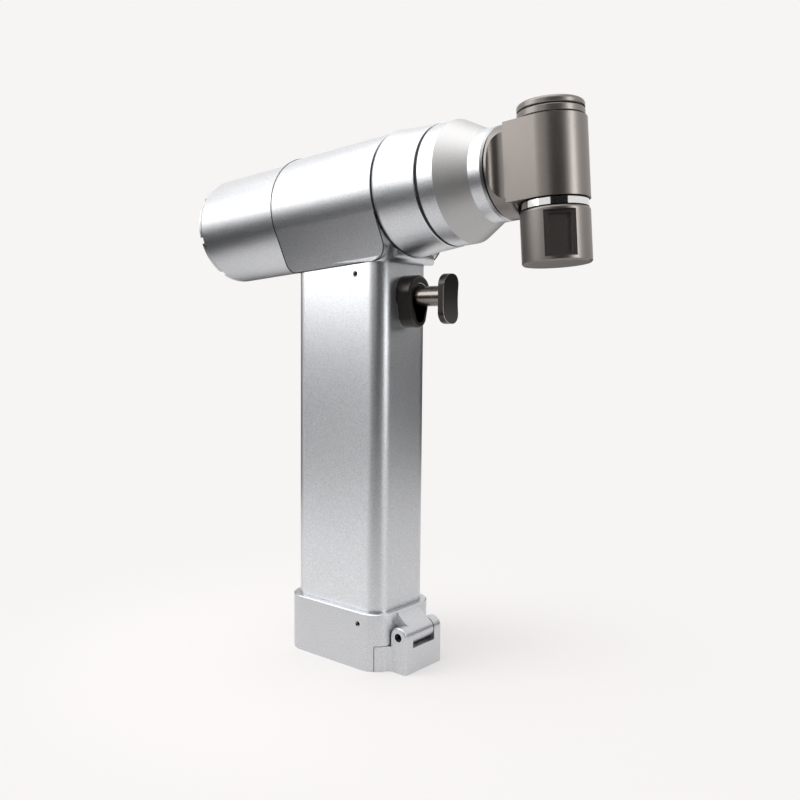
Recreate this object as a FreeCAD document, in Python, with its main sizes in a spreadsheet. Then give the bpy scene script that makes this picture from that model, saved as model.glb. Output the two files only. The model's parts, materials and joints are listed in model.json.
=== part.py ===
"""Battery-powered surgical oscillating saw, pistol pattern.

The origin is on the floor below the middle of the grip. +X points forward, to the saw head, and +Z up.
The barrel and the head lean back a little: their own frame has X along the barrel and Z up the head.
"""

import FreeCAD, Part
import Sketcher
import math
import os
from types import SimpleNamespace

from FreeCAD import Placement, Rotation, Vector

SIZES = {
    # Grip tube
    "grip_length": 41.8,
    "grip_width": 27.2,
    "grip_corner": 5.8,
    "grip_wall": 1.6,
    "grip_top": 141.9,
    # Collar at the foot of the grip
    "collar_wall": 2.4,
    "collar_height": 20.4,
    "collar_edge": 0.3,
    "ledge_height": 10.0,
    "slide_fit": 0.1,
    # Lid of the battery bay, with its hinge
    "lid_gap": 0.2,
    "lid_thickness": 3.0,
    "notch_start": 19.8,
    "notch_height": 9.15,
    "block_front": 30.6,
    "block_width": 20.0,
    "block_edge": 0.6,
    "blend_radius": 2.5,
    "ear_width": 4.0,
    "ear_gap": 0.2,
    "pin_reach": 27.1,
    "pin_height": 12.7,
    "knuckle_radius": 3.3,
    "brow_angle": 33.3,
    "brow_start": 2.3,
    "tongue_root": 1.3,
    "pin_radius": 1.5,
    "pin_recess": 0.8,
    "hinge_clearance": 0.3,
    "running_fit": 0.04,
    "pad_thickness": 1.4,
    "pad_length": 26.0,
    "pad_width": 14.0,
    # Battery and electronics
    "battery_gap": 0.5,
    "battery_edge": 1.0,
    "seat_gap": 0.1,
    "carrier_lift": 3.5,
    "carrier_height": 5.0,
    "contact_radius": 1.0,
    "contact_spread": 18.0,
    "board_thickness": 1.6,
    "board_height": 18.0,
    "board_gap": 3.0,
    "chip_centre": 10.8,
    "chip_length": 9.0,
    "chip_height": 7.0,
    "chip_depth": 2.4,
    # Set screws
    "screw_radius": 1.0,
    "screw_length": 3.4,
    "socket_radius": 0.55,
    "socket_depth": 1.2,
    "screw_recess": 0.6,
    "grip_screw_reach": 9.4,
    "grip_screw_drop": 4.0,
    "collar_screw_reach": 13.6,
    "collar_screw_height": 16.2,
    # Trigger
    "trigger_drop": 11.5,
    "shaft_radius": 3.45,
    "shaft_back": 13.5,
    "stud_radius": 1.8,
    "stud_length": 1.4,
    "magnet_radius": 1.5,
    "magnet_length": 3.0,
    "pad_back": 38.0,
    "pad_front": 40.9,
    "pad_hollow": 0.7,
    "pad_drop": 9.4,
    "pad_rise": 7.4,
    "paddle_width": 8.4,
    "paddle_corner": 3.9,
    "guide_back": 2.0,
    "guide_floor": 1.2,
    "guide_radius": 5.5,
    "flange_half": 6.0,
    "flange_foot": 2.6,
    "flange_thickness": 1.8,
    "bezel_depth": 6.4,
    "bezel_lift": 1.5,
    "bezel_radius": 5.8,
    "bezel_foot_radius": 3.9,
    "bezel_edge": 0.9,
    "bezel_screw_drop": 6.8,
    "bezel_hole_radius": 2.0,
    "bezel_screw_radius": 1.25,
    "bezel_floor": 1.5,
    "seal_radius": 4.4,
    "seal_depth": 1.2,
    "trigger_spring_radius": 2.5,
    "trigger_wire": 0.35,
    # Barrel
    "barrel_tilt": 4.4,
    "neck_rise": 0.4,
    "saddle_radius": 21.2,
    "saddle_wall": 4.0,
    "saddle_length": 47.5,
    "saddle_front": 22.5,
    "flank_inset": 2.5,
    "flank_half": 14.2,
    "flank_corner": 4.5,
    "flank_fillet": 8.0,
    "lip_reach": 3.1,
    "lip_round": 3.4,
    "lip_gap": 0.35,
    "spigot_depth": 5.7,
    "spigot_wall": 2.2,
    "seam": 0.15,
    "sleeve_step": 0.9,
    "sleeve_wall": 3.4,
    "sleeve_spigot_step": 2.2,
    "sleeve_length": 43.0,
    "sleeve_engagement": 8.7,
    "cap_thickness": 1.2,
    "cap_plug_step": 2.7,
    "cap_plug_length": 5.8,
    "notch_count": 8,
    "notch_width": 2.2,
    "notch_depth": 1.3,
    "notch_angle": 15.0,
    # Front ring and nose
    "ring_gap": 0.4,
    "ring_flare_rise": 0.4,
    "ring_flare_length": 1.7,
    "ring_waist_drop": 0.3,
    "ring_waist_length": 8.1,
    "ring_end_drop": 0.95,
    "ring_length": 17.2,
    "ring_lead": 1.0,
    "ring_spigot_length": 7.0,
    "ring_spigot_wall": 3.2,
    "seal_ring_width": 0.85,
    "seal_ring_drop": 1.4,
    "nose_band_drop": 1.2,
    "nose_band_length": 6.3,
    "nose_taper_length": 9.65,
    "nose_radius": 14.8,
    "nose_end_length": 5.0,
    "nose_edge": 0.6,
    "nose_spigot_step": 0.8,
    "nose_spigot_length": 3.8,
    "nose_spigot_wall": 2.4,
    "nose_bore": 11.6,
    "nose_bore_depth": 10.9,
    # Drive train on the barrel axis
    "can_gap": 0.7,
    "can_wall": 1.5,
    "can_room": 18.0,
    "can_clearance": 3.0,
    "bell_thickness": 4.0,
    "stator_thickness": 3.5,
    "stator_inset": 7.0,
    "rotor_gap": 0.5,
    "rotor_inset": 2.0,
    "motor_shaft_radius": 2.5,
    "motor_shaft_overhang": 1.0,
    "motor_bearing_radius": 6.5,
    "motor_bearing_width": 3.5,
    "coupling_radius": 7.0,
    "coupling_length": 20.0,
    "coupling_grip": 5.5,
    "coupling_overlap": 5.0,
    "coupling_clearance": 1.5,
    "drive_shaft_radius": 3.0,
    "drive_bearing_radius": 8.0,
    "drive_bearing_width": 5.0,
    "rear_bearing_inset": 7.6,
    "front_bearing_inset": 5.5,
    "throw": 0.5,
    "shaft_clearance": 14.2,
    "crank_clearance": 7.6,
    "roller_clearance": 12.0,
    "crank_radius": 2.0,
    "roller_radius": 3.5,
    "roller_width": 4.0,
    # Head, measured from the crossing of the head axis and the barrel axis
    "head_offset": 16.3,
    "head_gap": 0.2,
    "head_half": 10.9,
    "head_bottom": -11.3,
    "head_top": 12.8,
    "head_rim": 13.2,
    "head_rim_length": 0.8,
    "shoulder_reach": 8.6,
    "head_shoulder_round": 2.2,
    "flat_length": 5.6,
    "flat_round": 4.0,
    "head_bore": 8.45,
    "head_cavity": 8.3,
    "head_spigot_gap": 0.3,
    "cap_radius": 10.3,
    "cap_groove": 0.5,
    "cap_ring_height": 2.0,
    "cap_height": 2.15,
    "cap_round": 1.1,
    "cap_plug_radius": 8.35,
    "cap_plug_bottom": 11.0,
    "cap_boss": 7.0,
    "cap_seal_radius": 9.9,
    "output_radius": 4.0,
    "output_top": 10.8,
    "output_bottom": -26.6,
    "output_bearing_radius": 8.4,
    "output_bearing_width": 4.0,
    "output_bearing_offset": 6.5,
    "fork_hub": 6.5,
    "fork_half_height": 2.5,
    "fork_reach": 13.0,
    "fork_slot_half": 4.75,
    "fork_slot_root": 6.2,
    "fork_shoulder": 2.0,
    "fork_half_width": 7.2,
    "seat_radius": 10.3,
    "seat_top": -11.5,
    "seat_bottom": -13.8,
    "seat_edge": 0.3,
    "knob_radius": 10.7,
    "knob_top": -13.95,
    "knob_bottom": -30.4,
    "knob_round": 1.0,
    "knob_edge": 0.5,
    "knob_ceiling": 3.2,
    "knob_cavity": 7.6,
    "knob_plate_radius": 9.4,
    "knob_plate_thickness": 1.4,
    "recess_azimuth": -53.0,
    "facet_distance": 9.55,
    "facet_half": 4.8,
    "facet_inset": 1.4,
    "recess_distance": 8.9,
    "recess_half": 3.3,
    "recess_inset": 2.5,
    "nut_radius": 7.0,
    "nut_bottom": -28.4,
    "nut_top": -26.0,
    "clamp_spring_radius": 5.8,
    "clamp_wire": 0.6,
}

# Sizes that follow from the ones above
FOLLOWS = {
    "trigger_height": "grip_top - trigger_drop",
    "bezel_screw_height": "trigger_height - bezel_screw_drop",
    "pad_bottom": "trigger_height - pad_drop",
    "pad_top": "trigger_height + pad_rise",
    "grip_screw_height": "grip_top - grip_screw_drop",
    "board_top": "bezel_screw_height - flange_foot - board_gap",
    "carrier_top": "board_top - board_height - seat_gap",
    "battery_top": "carrier_top - carrier_height - carrier_lift",
    "battery_bottom": "lid_thickness + pad_thickness + seat_gap",
    "battery_height": "battery_top - battery_bottom",
    "axis_height": "grip_top + saddle_radius + neck_rise",
    "saddle_back": "saddle_front - saddle_length",
    "flank_front": "saddle_front - flank_inset",
    "lip_front": "saddle_front + lip_reach",
    "bore_radius": "saddle_radius - saddle_wall",
    "sleeve_radius": "saddle_radius - sleeve_step",
    "sleeve_bore": "sleeve_radius - sleeve_wall",
    "sleeve_spigot": "sleeve_radius - sleeve_spigot_step",
    "barrel_back": "saddle_back - sleeve_length",
    "cap_plug": "sleeve_radius - cap_plug_step",
    "ring_start": "saddle_front + ring_gap",
    "ring_flare_radius": "saddle_radius + ring_flare_rise",
    "ring_flare_reach": "ring_start + ring_flare_length",
    "ring_waist_radius": "saddle_radius - ring_waist_drop",
    "ring_waist_reach": "ring_start + ring_waist_length",
    "ring_end_radius": "saddle_radius - ring_end_drop",
    "ring_end": "ring_start + ring_length",
    "ring_spigot_back": "saddle_front - ring_spigot_length",
    "ring_spigot_bore": "bore_radius - ring_spigot_wall",
    "seal_ring_end": "ring_end + seal_ring_width",
    "seal_ring_radius": "saddle_radius - seal_ring_drop",
    "nose_band_radius": "saddle_radius - nose_band_drop",
    "nose_band_end": "seal_ring_end + nose_band_length",
    "nose_taper_end": "nose_band_end + nose_taper_length",
    "nose_end": "nose_taper_end + nose_end_length",
    "nose_spigot": "bore_radius - nose_spigot_step",
    "nose_spigot_back": "ring_end - nose_spigot_length",
    "nose_cavity": "nose_spigot - nose_spigot_wall",
    "nose_bore_back": "nose_end - nose_bore_depth",
    "rear_bearing_back": "ring_start + rear_bearing_inset",
    "front_bearing_back": "nose_bore_back - front_bearing_inset",
    "coupling_front": "rear_bearing_back - coupling_clearance",
    "coupling_back": "coupling_front - coupling_length",
    "motor_shaft_front": "coupling_back + coupling_overlap",
    "can_radius": "bore_radius - can_gap",
    "can_back": "barrel_back + can_room",
    "can_front": "coupling_back - can_clearance",
    "stator_inner": "can_radius - can_wall - stator_thickness",
    "stator_back": "can_back + stator_inset",
    "stator_front": "can_front - stator_inset",
    "rotor_radius": "stator_inner - rotor_gap",
    "rotor_back": "stator_back + rotor_inset",
    "rotor_front": "stator_front - rotor_inset",
    "motor_shaft_back": "can_back - motor_shaft_overhang",
    "head_start": "nose_end + head_gap",
    "head_reach": "nose_end + head_offset",
    "flat_start": "head_start + flat_length",
    "head_spigot_back": "nose_bore_back + head_spigot_gap",
    "drive_shaft_front": "head_reach - shaft_clearance",
    "crank_front": "head_reach - crank_clearance",
    "roller_back": "head_reach - roller_clearance",
}

FAR = 60.0

doc = FreeCAD.newDocument("oscillating_saw")
sheet = doc.addObject("Spreadsheet::Sheet", "Sizes")
for row, (alias, number) in enumerate({**SIZES, **FOLLOWS}.items(), start=1):
    sheet.set(f"A{row}", alias)
    sheet.set(f"B{row}", f"={number}")
    sheet.setAlias(f"B{row}", alias)
doc.recompute()


class Term:
    """A size, or a sum worked out from sizes, kept both as a number and as the sheet's expression."""

    def __init__(self, text, number):
        self.text = text
        self.number = number

    def __add__(self, other):
        other = term(other)
        return Term(f"({self.text} + {other.text})", self.number + other.number)

    def __sub__(self, other):
        other = term(other)
        return Term(f"({self.text} - {other.text})", self.number - other.number)

    def __mul__(self, other):
        other = term(other)
        return Term(f"({self.text} * {other.text})", self.number * other.number)

    def __truediv__(self, other):
        other = term(other)
        return Term(f"({self.text} / {other.text})", self.number / other.number)

    def __neg__(self):
        return Term(f"(0 - {self.text})", -self.number)

    def __radd__(self, other):
        return term(other) + self

    def __rsub__(self, other):
        return term(other) - self

    def __rmul__(self, other):
        return term(other) * self


def term(value):
    if isinstance(value, Term):
        return value
    return Term(str(value), float(value))


def sine(angle):
    angle = term(angle)
    return Term(f"sin({angle.text})", math.sin(math.radians(angle.number)))


def cosine(angle):
    angle = term(angle)
    return Term(f"cos({angle.text})", math.cos(math.radians(angle.number)))


def root(value):
    return Term(f"sqrt({value.text})", math.sqrt(value.number))


S = SimpleNamespace(
    **{
        name: Term(f"Sizes.{name}", float(sheet.get(name)))
        for name in [*SIZES, *FOLLOWS]
    }
)
NODES = []


def bind(item, path, value):
    item.setExpression(path, term(value).text)


def place(item, x=0, z=0, turn=0):
    """Puts an item at (x, 0, z), turned about Y, and ties that place to the sheet."""
    x, z, turn = term(x), term(z), term(turn)
    item.Placement = Placement(
        Vector(x.number, 0, z.number), Rotation(Vector(0, 1, 0), turn.number)
    )
    item.setExpression(
        "Placement",
        f"create(<<placement>>; create(<<vector>>; {x.text}; 0; {z.text}); "
        f"create(<<rotation>>; create(<<vector>>; 0; 1; 0); {turn.text}))",
    )


def place_on_barrel(item, along=0):
    """Puts an item's own frame on the barrel axis, a distance forward of the grip's middle."""
    along = term(along)
    place(
        item,
        along * cosine(S.barrel_tilt),
        S.axis_height + along * sine(S.barrel_tilt),
        -S.barrel_tilt,
    )


def new_body(name):
    body = doc.addObject("PartDesign::Body", name)
    body.Label = name
    NODES.append(body)
    return body


def new_sketch(body, plane, lift=0):
    """An empty sketch on one of the body's own planes, lifted along the plane's normal."""
    planes = {feature.Role: feature for feature in body.Origin.OriginFeatures}
    sketch = body.newObject("Sketcher::SketchObject", body.Name + "_sketch")
    sketch.AttachmentSupport = [(planes[plane], "")]
    sketch.MapMode = "FlatFace"
    lift = term(lift)
    sketch.AttachmentOffset = Placement(Vector(0, 0, lift.number), Rotation())
    if isinstance(lift, Term) and lift.text != "0":
        bind(sketch, "AttachmentOffset.Base.z", lift)
    return sketch


def arc_between(start, end, radius, turn):
    """The shorter arc from start to end; turn is 1 for anticlockwise and -1 for clockwise."""
    chord = end - start
    rise = math.sqrt(max(radius**2 - (chord.Length / 2) ** 2, 0.0))
    side = Vector(-chord.y, chord.x, 0).normalize()
    centre = start + chord / 2 + side * (rise * turn)
    first, last = (start, end) if turn > 0 else (end, start)
    return Part.ArcOfCircle(
        Part.Circle(centre, Vector(0, 0, 1), radius),
        math.atan2(first.y - centre.y, first.x - centre.x),
        math.atan2(last.y - centre.y, last.x - centre.x),
    )


def pin_down(sketch, geometry, end, x, y):
    """Fixes a point of the sketch at (x, y) from the sketch's origin, by expression."""
    for kind, value, axis in (("DistanceX", x, -2), ("DistanceY", y, -1)):
        if not isinstance(value, Term) and value == 0:
            sketch.addConstraint(
                Sketcher.Constraint("PointOnObject", geometry, end, axis)
            )
            continue
        value = term(value)
        index = sketch.addConstraint(
            Sketcher.Constraint(kind, -1, 1, geometry, end, value.number)
        )
        bind(sketch, f"Constraints[{index}]", value)


def add_loop(sketch, points):
    """A closed outline. A point (x, y) ends a straight side; (x, y, radius, turn) ends an arc."""
    spots = [Vector(term(p[0]).number, term(p[1]).number, 0) for p in points]
    ends = []
    for index, point in enumerate(points):
        start, end = spots[index - 1], spots[index]
        if len(point) == 2:
            ends.append(
                (sketch.addGeometry(Part.LineSegment(start, end), False), 1, 2)
            )
            continue
        radius, turn = term(point[2]), point[3]
        curve = sketch.addGeometry(arc_between(start, end, radius.number, turn), False)
        ends.append((curve, 1, 2) if turn > 0 else (curve, 2, 1))
        fixed = sketch.addConstraint(
            Sketcher.Constraint("Radius", curve, radius.number)
        )
        bind(sketch, f"Constraints[{fixed}]", radius)
    for index, point in enumerate(points):
        curve, _, end = ends[index]
        following, start, _ = ends[(index + 1) % len(points)]
        sketch.addConstraint(
            Sketcher.Constraint("Coincident", curve, end, following, start)
        )
        pin_down(sketch, curve, end, point[0], point[1])


def add_circle(sketch, x, y, radius):
    radius = term(radius)
    spot = Vector(term(x).number, term(y).number, 0)
    curve = sketch.addGeometry(
        Part.Circle(spot, Vector(0, 0, 1), radius.number), False
    )
    pin_down(sketch, curve, 3, x, y)
    fixed = sketch.addConstraint(Sketcher.Constraint("Radius", curve, radius.number))
    bind(sketch, f"Constraints[{fixed}]", radius)


def rounded_box(back, front, half, corner):
    """Outline of a rounded rectangle from back to front along x, half wide each way along y."""
    back, front, half, corner = term(back), term(front), term(half), term(corner)
    return [
        (back + corner, -half),
        (front - corner, -half),
        (front, -half + corner, corner, 1),
        (front, half - corner),
        (front - corner, half, corner, 1),
        (back + corner, half),
        (back, half - corner, corner, 1),
        (back, -half + corner),
        (back + corner, -half, corner, 1),
    ][1:]


def box(back, front, low, high):
    return [(back, low), (front, low), (front, high), (back, high)]


def extrude(sketch, length, name, symmetric=False, back=False, cut=False):
    """Pads the sketch, or cuts it out of the body. A length of None cuts through all."""
    body = sketch.getParentGeoFeatureGroup()
    feature = body.newObject("PartDesign::Pocket" if cut else "PartDesign::Pad", name)
    feature.Profile = sketch
    if length is None:
        feature.Type = "ThroughAll"
    else:
        feature.Length = term(length).number
        bind(feature, "Length", length)
    feature.SideType = "Symmetric" if symmetric else "One side"
    feature.Reversed = back
    body.Tip = feature
    return feature


def pad(body, plane, loops, length, lift=0, symmetric=False, back=False):
    sketch = new_sketch(body, plane, lift)
    for loop in loops:
        add_loop(sketch, loop)
    return extrude(sketch, length, body.Name + "_pad", symmetric, back)


def cut(body, plane, loops, length, lift=0, symmetric=False, back=False):
    sketch = new_sketch(body, plane, lift)
    for loop in loops:
        add_loop(sketch, loop)
    return extrude(sketch, length, body.Name + "_cut", symmetric, back, cut=True)


def drill(body, plane, spots, length, lift=0, symmetric=False, back=False):
    """Round holes; each spot is (x, y, radius) in the plane."""
    sketch = new_sketch(body, plane, lift)
    for spot in spots:
        add_circle(sketch, *spot)
    return extrude(sketch, length, body.Name + "_hole", symmetric, back, cut=True)


def spin(body, points, axis="H_Axis", groove=False):
    """Turns an outline in the XZ plane about X (H_Axis) or Z (V_Axis)."""
    sketch = new_sketch(body, "XZ_Plane")
    add_loop(sketch, points)
    kind = "PartDesign::Groove" if groove else "PartDesign::Revolution"
    feature = body.newObject(kind, body.Name + "_turn")
    feature.Profile = sketch
    feature.ReferenceAxis = (sketch, [axis])
    feature.Angle = 360
    body.Tip = feature
    return feature


def edges_where(shape, test):
    """Names of the edges whose middle point and direction pass the test."""
    names = []
    for index, edge in enumerate(shape.Edges, start=1):
        middle = edge.valueAt((edge.FirstParameter + edge.LastParameter) / 2)
        if test(edge, middle):
            names.append(f"Edge{index}")
    return names


def dress(body, kind, size, test):
    """Fillets or chamfers the chosen edges of the body's tip."""
    doc.recompute()
    base = body.Tip
    feature = body.newObject("PartDesign::" + kind, body.Name + "_" + kind.lower())
    feature.Base = (base, edges_where(base.Shape, test))
    key = "Radius" if kind == "Fillet" else "Size"
    setattr(feature, key, term(size).number)
    bind(feature, key, size)
    body.Tip = feature
    return feature


def upright(edge):
    """True for a straight edge along Z."""
    if not isinstance(edge.Curve, Part.Line):
        return False
    return abs(edge.Curve.Direction.z) > 0.999


def near(value, wanted, slack=0.02):
    return abs(value - term(wanted).number) < slack


# Grip tube

grip_half = S.grip_length / 2
grip_side = S.grip_width / 2
tube_half = grip_half - S.grip_wall
tube_side = grip_side - S.grip_wall
tube_corner = S.grip_corner - S.grip_wall
SIDE_SCREWS = [
    (S.grip_screw_reach, S.grip_screw_height, S.screw_radius),
    (S.collar_screw_reach, S.collar_screw_height, S.screw_radius),
]


def make_grip_tube():
    body = new_body("grip_tube")
    outside = rounded_box(-grip_half, grip_half, grip_side, S.grip_corner)
    inside = rounded_box(-tube_half, tube_half, tube_side, tube_corner)
    pad(
        body,
        "XY_Plane",
        [outside, inside],
        S.grip_top - S.ledge_height,
        lift=S.ledge_height,
    )
    front_holes = [
        (0, S.trigger_height, S.guide_radius + S.seat_gap),
        (0, S.bezel_screw_height, S.bezel_screw_radius),
    ]
    drill(body, "YZ_Plane", front_holes, None, back=True)
    drill(body, "XZ_Plane", SIDE_SCREWS, FAR, symmetric=True)


# Collar and hinge knuckle

collar_half = grip_half + S.collar_wall
collar_side = grip_side + S.collar_wall
collar_corner = S.grip_corner + S.collar_wall
ear_radius = S.block_front - S.pin_reach
knuckle_half = S.block_width / 2 - S.ear_width


def make_base_collar():
    body = new_body("base_collar")
    outside = rounded_box(-collar_half, collar_half, collar_side, collar_corner)
    pad(body, "XY_Plane", [outside], S.collar_height)
    dress(
        body,
        "Chamfer",
        S.collar_edge,
        lambda edge, middle: near(middle.z, S.collar_height),
    )
    seat = rounded_box(
        -grip_half - S.slide_fit,
        grip_half + S.slide_fit,
        grip_side + S.slide_fit,
        S.grip_corner + S.slide_fit,
    )
    cut(body, "XY_Plane", [seat], None, lift=S.ledge_height, back=True)
    bay = rounded_box(-tube_half, tube_half, tube_side, tube_corner)
    cut(body, "XY_Plane", [bay], None, lift=S.collar_height)
    notch = box(S.notch_start, collar_half + S.collar_wall, -collar_side, collar_side)
    cut(body, "XY_Plane", [notch], S.notch_height, back=True)
    mouth = box(0, S.notch_start, -tube_side, tube_side)
    cut(body, "XY_Plane", [mouth], S.notch_height, back=True)
    brow_top = S.collar_height - S.collar_edge
    lean_x = sine(S.brow_angle)
    lean_z = cosine(S.brow_angle)
    touch_x = S.pin_reach + S.knuckle_radius * lean_x
    touch_z = S.pin_height + S.knuckle_radius * lean_z
    brow_x = collar_half + S.brow_start
    brow_z = touch_z + (touch_x - brow_x) * lean_x / lean_z
    rise = brow_top - brow_z
    sweep = S.brow_start * S.brow_start + rise * rise
    sweep = sweep / (2 * (rise * lean_z - S.brow_start * lean_x))
    tongue = [
        (collar_half - S.tongue_root, S.notch_height),
        (collar_half, S.notch_height),
        (S.pin_reach, S.pin_height - S.knuckle_radius),
        (S.pin_reach + S.knuckle_radius, S.pin_height, S.knuckle_radius, 1),
        (touch_x, touch_z, S.knuckle_radius, 1),
        (brow_x, brow_z),
        (collar_half, brow_top, sweep, -1),
        (collar_half - S.tongue_root, brow_top),
    ]
    pad(body, "XZ_Plane", [tongue], 2 * (knuckle_half - S.ear_gap), symmetric=True)
    bore = [(S.pin_reach, S.pin_height, S.pin_radius + S.running_fit)]
    drill(body, "XZ_Plane", bore, S.block_width, symmetric=True)
    drill(body, "XZ_Plane", SIDE_SCREWS[1:], FAR, symmetric=True)


# Lid of the battery bay

plate_front = S.notch_start + S.lid_gap


def make_battery_lid():
    body = new_body("battery_lid")
    front_top = S.notch_height - S.lid_gap
    outside = rounded_box(-collar_half, collar_half, collar_side, collar_corner)
    pad(body, "XY_Plane", [outside], front_top)
    behind = box(-collar_half * 2, plate_front, -collar_side, collar_side)
    cut(body, "XY_Plane", [behind], None, lift=front_top)
    block = box(plate_front + S.lid_gap, S.block_front, 0, front_top)
    pad(body, "XZ_Plane", [block], S.block_width, symmetric=True)
    dress(
        body,
        "Fillet",
        S.blend_radius,
        lambda edge, middle: upright(edge)
        and near(abs(middle.y), S.block_width / 2)
        and plate_front.number < middle.x < collar_half.number,
    )
    ear_back = S.pin_reach - ear_radius
    ear = [
        (ear_back, S.lid_thickness),
        (S.block_front, S.lid_thickness),
        (S.block_front, S.pin_height),
        (S.pin_reach, S.pin_height + ear_radius, ear_radius, 1),
        (ear_back, S.pin_height, ear_radius, 1),
    ]
    pad(body, "XZ_Plane", [ear], S.block_width, symmetric=True)
    dress(
        body,
        "Fillet",
        S.block_edge,
        lambda edge, middle: upright(edge)
        and near(abs(middle.y), S.block_width / 2)
        and near(middle.x, S.block_front),
    )
    slot_floor = S.notch_height - S.hinge_clearance
    slot = box(plate_front, S.block_front + 1, slot_floor, S.collar_height)
    cut(body, "XZ_Plane", [slot], 2 * knuckle_half, symmetric=True)
    side = tube_side - S.lid_gap
    corner = tube_corner - S.lid_gap
    back = -tube_half + S.lid_gap
    front = plate_front + S.lid_thickness / 2
    plate = [
        (front, -side),
        (front, side),
        (back + corner, side),
        (back, side - corner, corner, 1),
        (back, -side + corner),
        (back + corner, -side, corner, 1),
    ]
    pad(body, "XY_Plane", [plate], S.lid_thickness)
    bore = [(S.pin_reach, S.pin_height, S.pin_radius)]
    drill(body, "XZ_Plane", bore, FAR, symmetric=True)


def make_hinge_pin():
    body = new_body("hinge_pin")
    sketch = new_sketch(body, "XZ_Plane")
    add_circle(sketch, S.pin_reach, S.pin_height, S.pin_radius)
    length = S.block_width - 2 * S.pin_recess
    extrude(sketch, length, "pin_pad", symmetric=True)
    hexagon = [
        (
            S.pin_reach + S.pin_radius * cosine(60 * corner) * 0.55,
            S.pin_height + S.pin_radius * sine(60 * corner) * 0.55,
        )
        for corner in range(6)
    ]
    cut(body, "XZ_Plane", [hexagon], S.socket_depth, lift=length / 2)


def make_lid_pad():
    body = new_body("lid_pad")
    outside = rounded_box(
        -S.pad_length / 2, S.pad_length / 2, S.pad_width / 2, tube_corner / 2
    )
    pad(body, "XY_Plane", [outside], S.pad_thickness, lift=S.lid_thickness)


# Battery, contacts and control board

def make_battery_pack():
    body = new_body("battery_pack")
    outside = rounded_box(
        -tube_half + S.battery_gap,
        tube_half - S.battery_gap,
        tube_side - S.battery_gap,
        tube_corner - S.battery_gap,
    )
    pad(body, "XY_Plane", [outside], S.battery_height, lift=S.battery_bottom)
    dress(
        body,
        "Chamfer",
        S.battery_edge,
        lambda edge, middle: near(middle.z, S.battery_top)
        or near(middle.z, S.battery_bottom),
    )


def make_contact_carrier():
    body = new_body("contact_carrier")
    outside = rounded_box(
        -tube_half + S.seat_gap,
        tube_half - S.seat_gap,
        tube_side - S.seat_gap,
        tube_corner - S.seat_gap,
    )
    bottom = S.battery_top + S.carrier_lift
    pad(body, "XY_Plane", [outside], S.carrier_height, lift=bottom)
    holes = [
        (side * S.contact_spread / 2, 0, S.contact_radius) for side in (-1, 1)
    ]
    drill(body, "XY_Plane", holes, None, lift=S.carrier_top)


def make_contacts():
    for name, side in (("contact_rear", -1), ("contact_front", 1)):
        body = new_body(name)
        sketch = new_sketch(body, "XY_Plane", S.battery_top + S.seat_gap)
        add_circle(sketch, side * S.contact_spread / 2, 0, S.contact_radius)
        length = S.carrier_lift + S.carrier_height - 2 * S.seat_gap
        extrude(sketch, length, name + "_pad")


def make_control_board():
    body = new_body("control_board")
    bottom = S.carrier_top + S.seat_gap
    half = tube_half - S.seat_gap
    board = box(-half, half, bottom, bottom + S.board_height)
    pad(body, "XZ_Plane", [board], S.board_thickness, symmetric=True)
    chips = [
        box(
            side * S.chip_centre - S.chip_length / 2,
            side * S.chip_centre + S.chip_length / 2,
            bottom + S.chip_height,
            bottom + 2 * S.chip_height,
        )
        for side in (-1, 1)
    ]
    sketch = new_sketch(body, "XZ_Plane", S.board_thickness / 2)
    for chip in chips:
        add_loop(sketch, chip)
    extrude(sketch, S.chip_depth, "chip_pad")


# Screws


def make_side_screw(name, reach, height, outside, side):
    """A set screw with a hexagon socket, its end sunk below the outside face at y = outside."""
    body = new_body(name)
    end = outside - S.screw_recess
    sketch = new_sketch(body, "XZ_Plane", side * end)
    add_circle(sketch, reach, height, S.screw_radius)
    extrude(sketch, S.screw_length, name + "_pad", back=side > 0)
    hexagon = [
        (
            reach + S.socket_radius * cosine(60 * corner),
            height + S.socket_radius * sine(60 * corner),
        )
        for corner in range(6)
    ]
    socket = new_sketch(body, "XZ_Plane", side * end)
    add_loop(socket, hexagon)
    extrude(socket, S.socket_depth, name + "_socket", back=side < 0, cut=True)


def make_side_screws():
    for word, side in (("right", 1), ("left", -1)):
        make_side_screw(
            "grip_screw_" + word,
            S.grip_screw_reach,
            S.grip_screw_height,
            grip_side,
            side,
        )
        make_side_screw(
            "collar_screw_" + word,
            S.collar_screw_reach,
            S.collar_screw_height,
            collar_side,
            side,
        )


# Trigger

shaft_bore = S.shaft_radius + S.running_fit
bezel_front = grip_half + S.bezel_depth


def make_trigger_guide():
    body = new_body("trigger_guide")
    place(body, 0, S.trigger_height)
    spin(
        body,
        [
            (S.guide_back, 0),
            (grip_half, 0),
            (grip_half, S.guide_radius),
            (S.guide_back, S.guide_radius),
        ],
    )
    low = S.bezel_screw_height - S.trigger_height
    flange = [
        (-S.flange_half, low - S.flange_foot),
        (S.flange_half, low - S.flange_foot),
        (S.flange_half, S.guide_radius),
        (-S.flange_half, S.guide_radius),
    ]
    pad(
        body,
        "YZ_Plane",
        [flange],
        S.flange_thickness,
        lift=tube_half - S.seat_gap,
        back=True,
    )
    well = grip_half - S.guide_back - S.guide_floor
    drill(body, "YZ_Plane", [(0, 0, shaft_bore)], well, lift=grip_half)
    drill(body, "YZ_Plane", [(0, low, S.bezel_screw_radius)], None, back=True)


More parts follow.
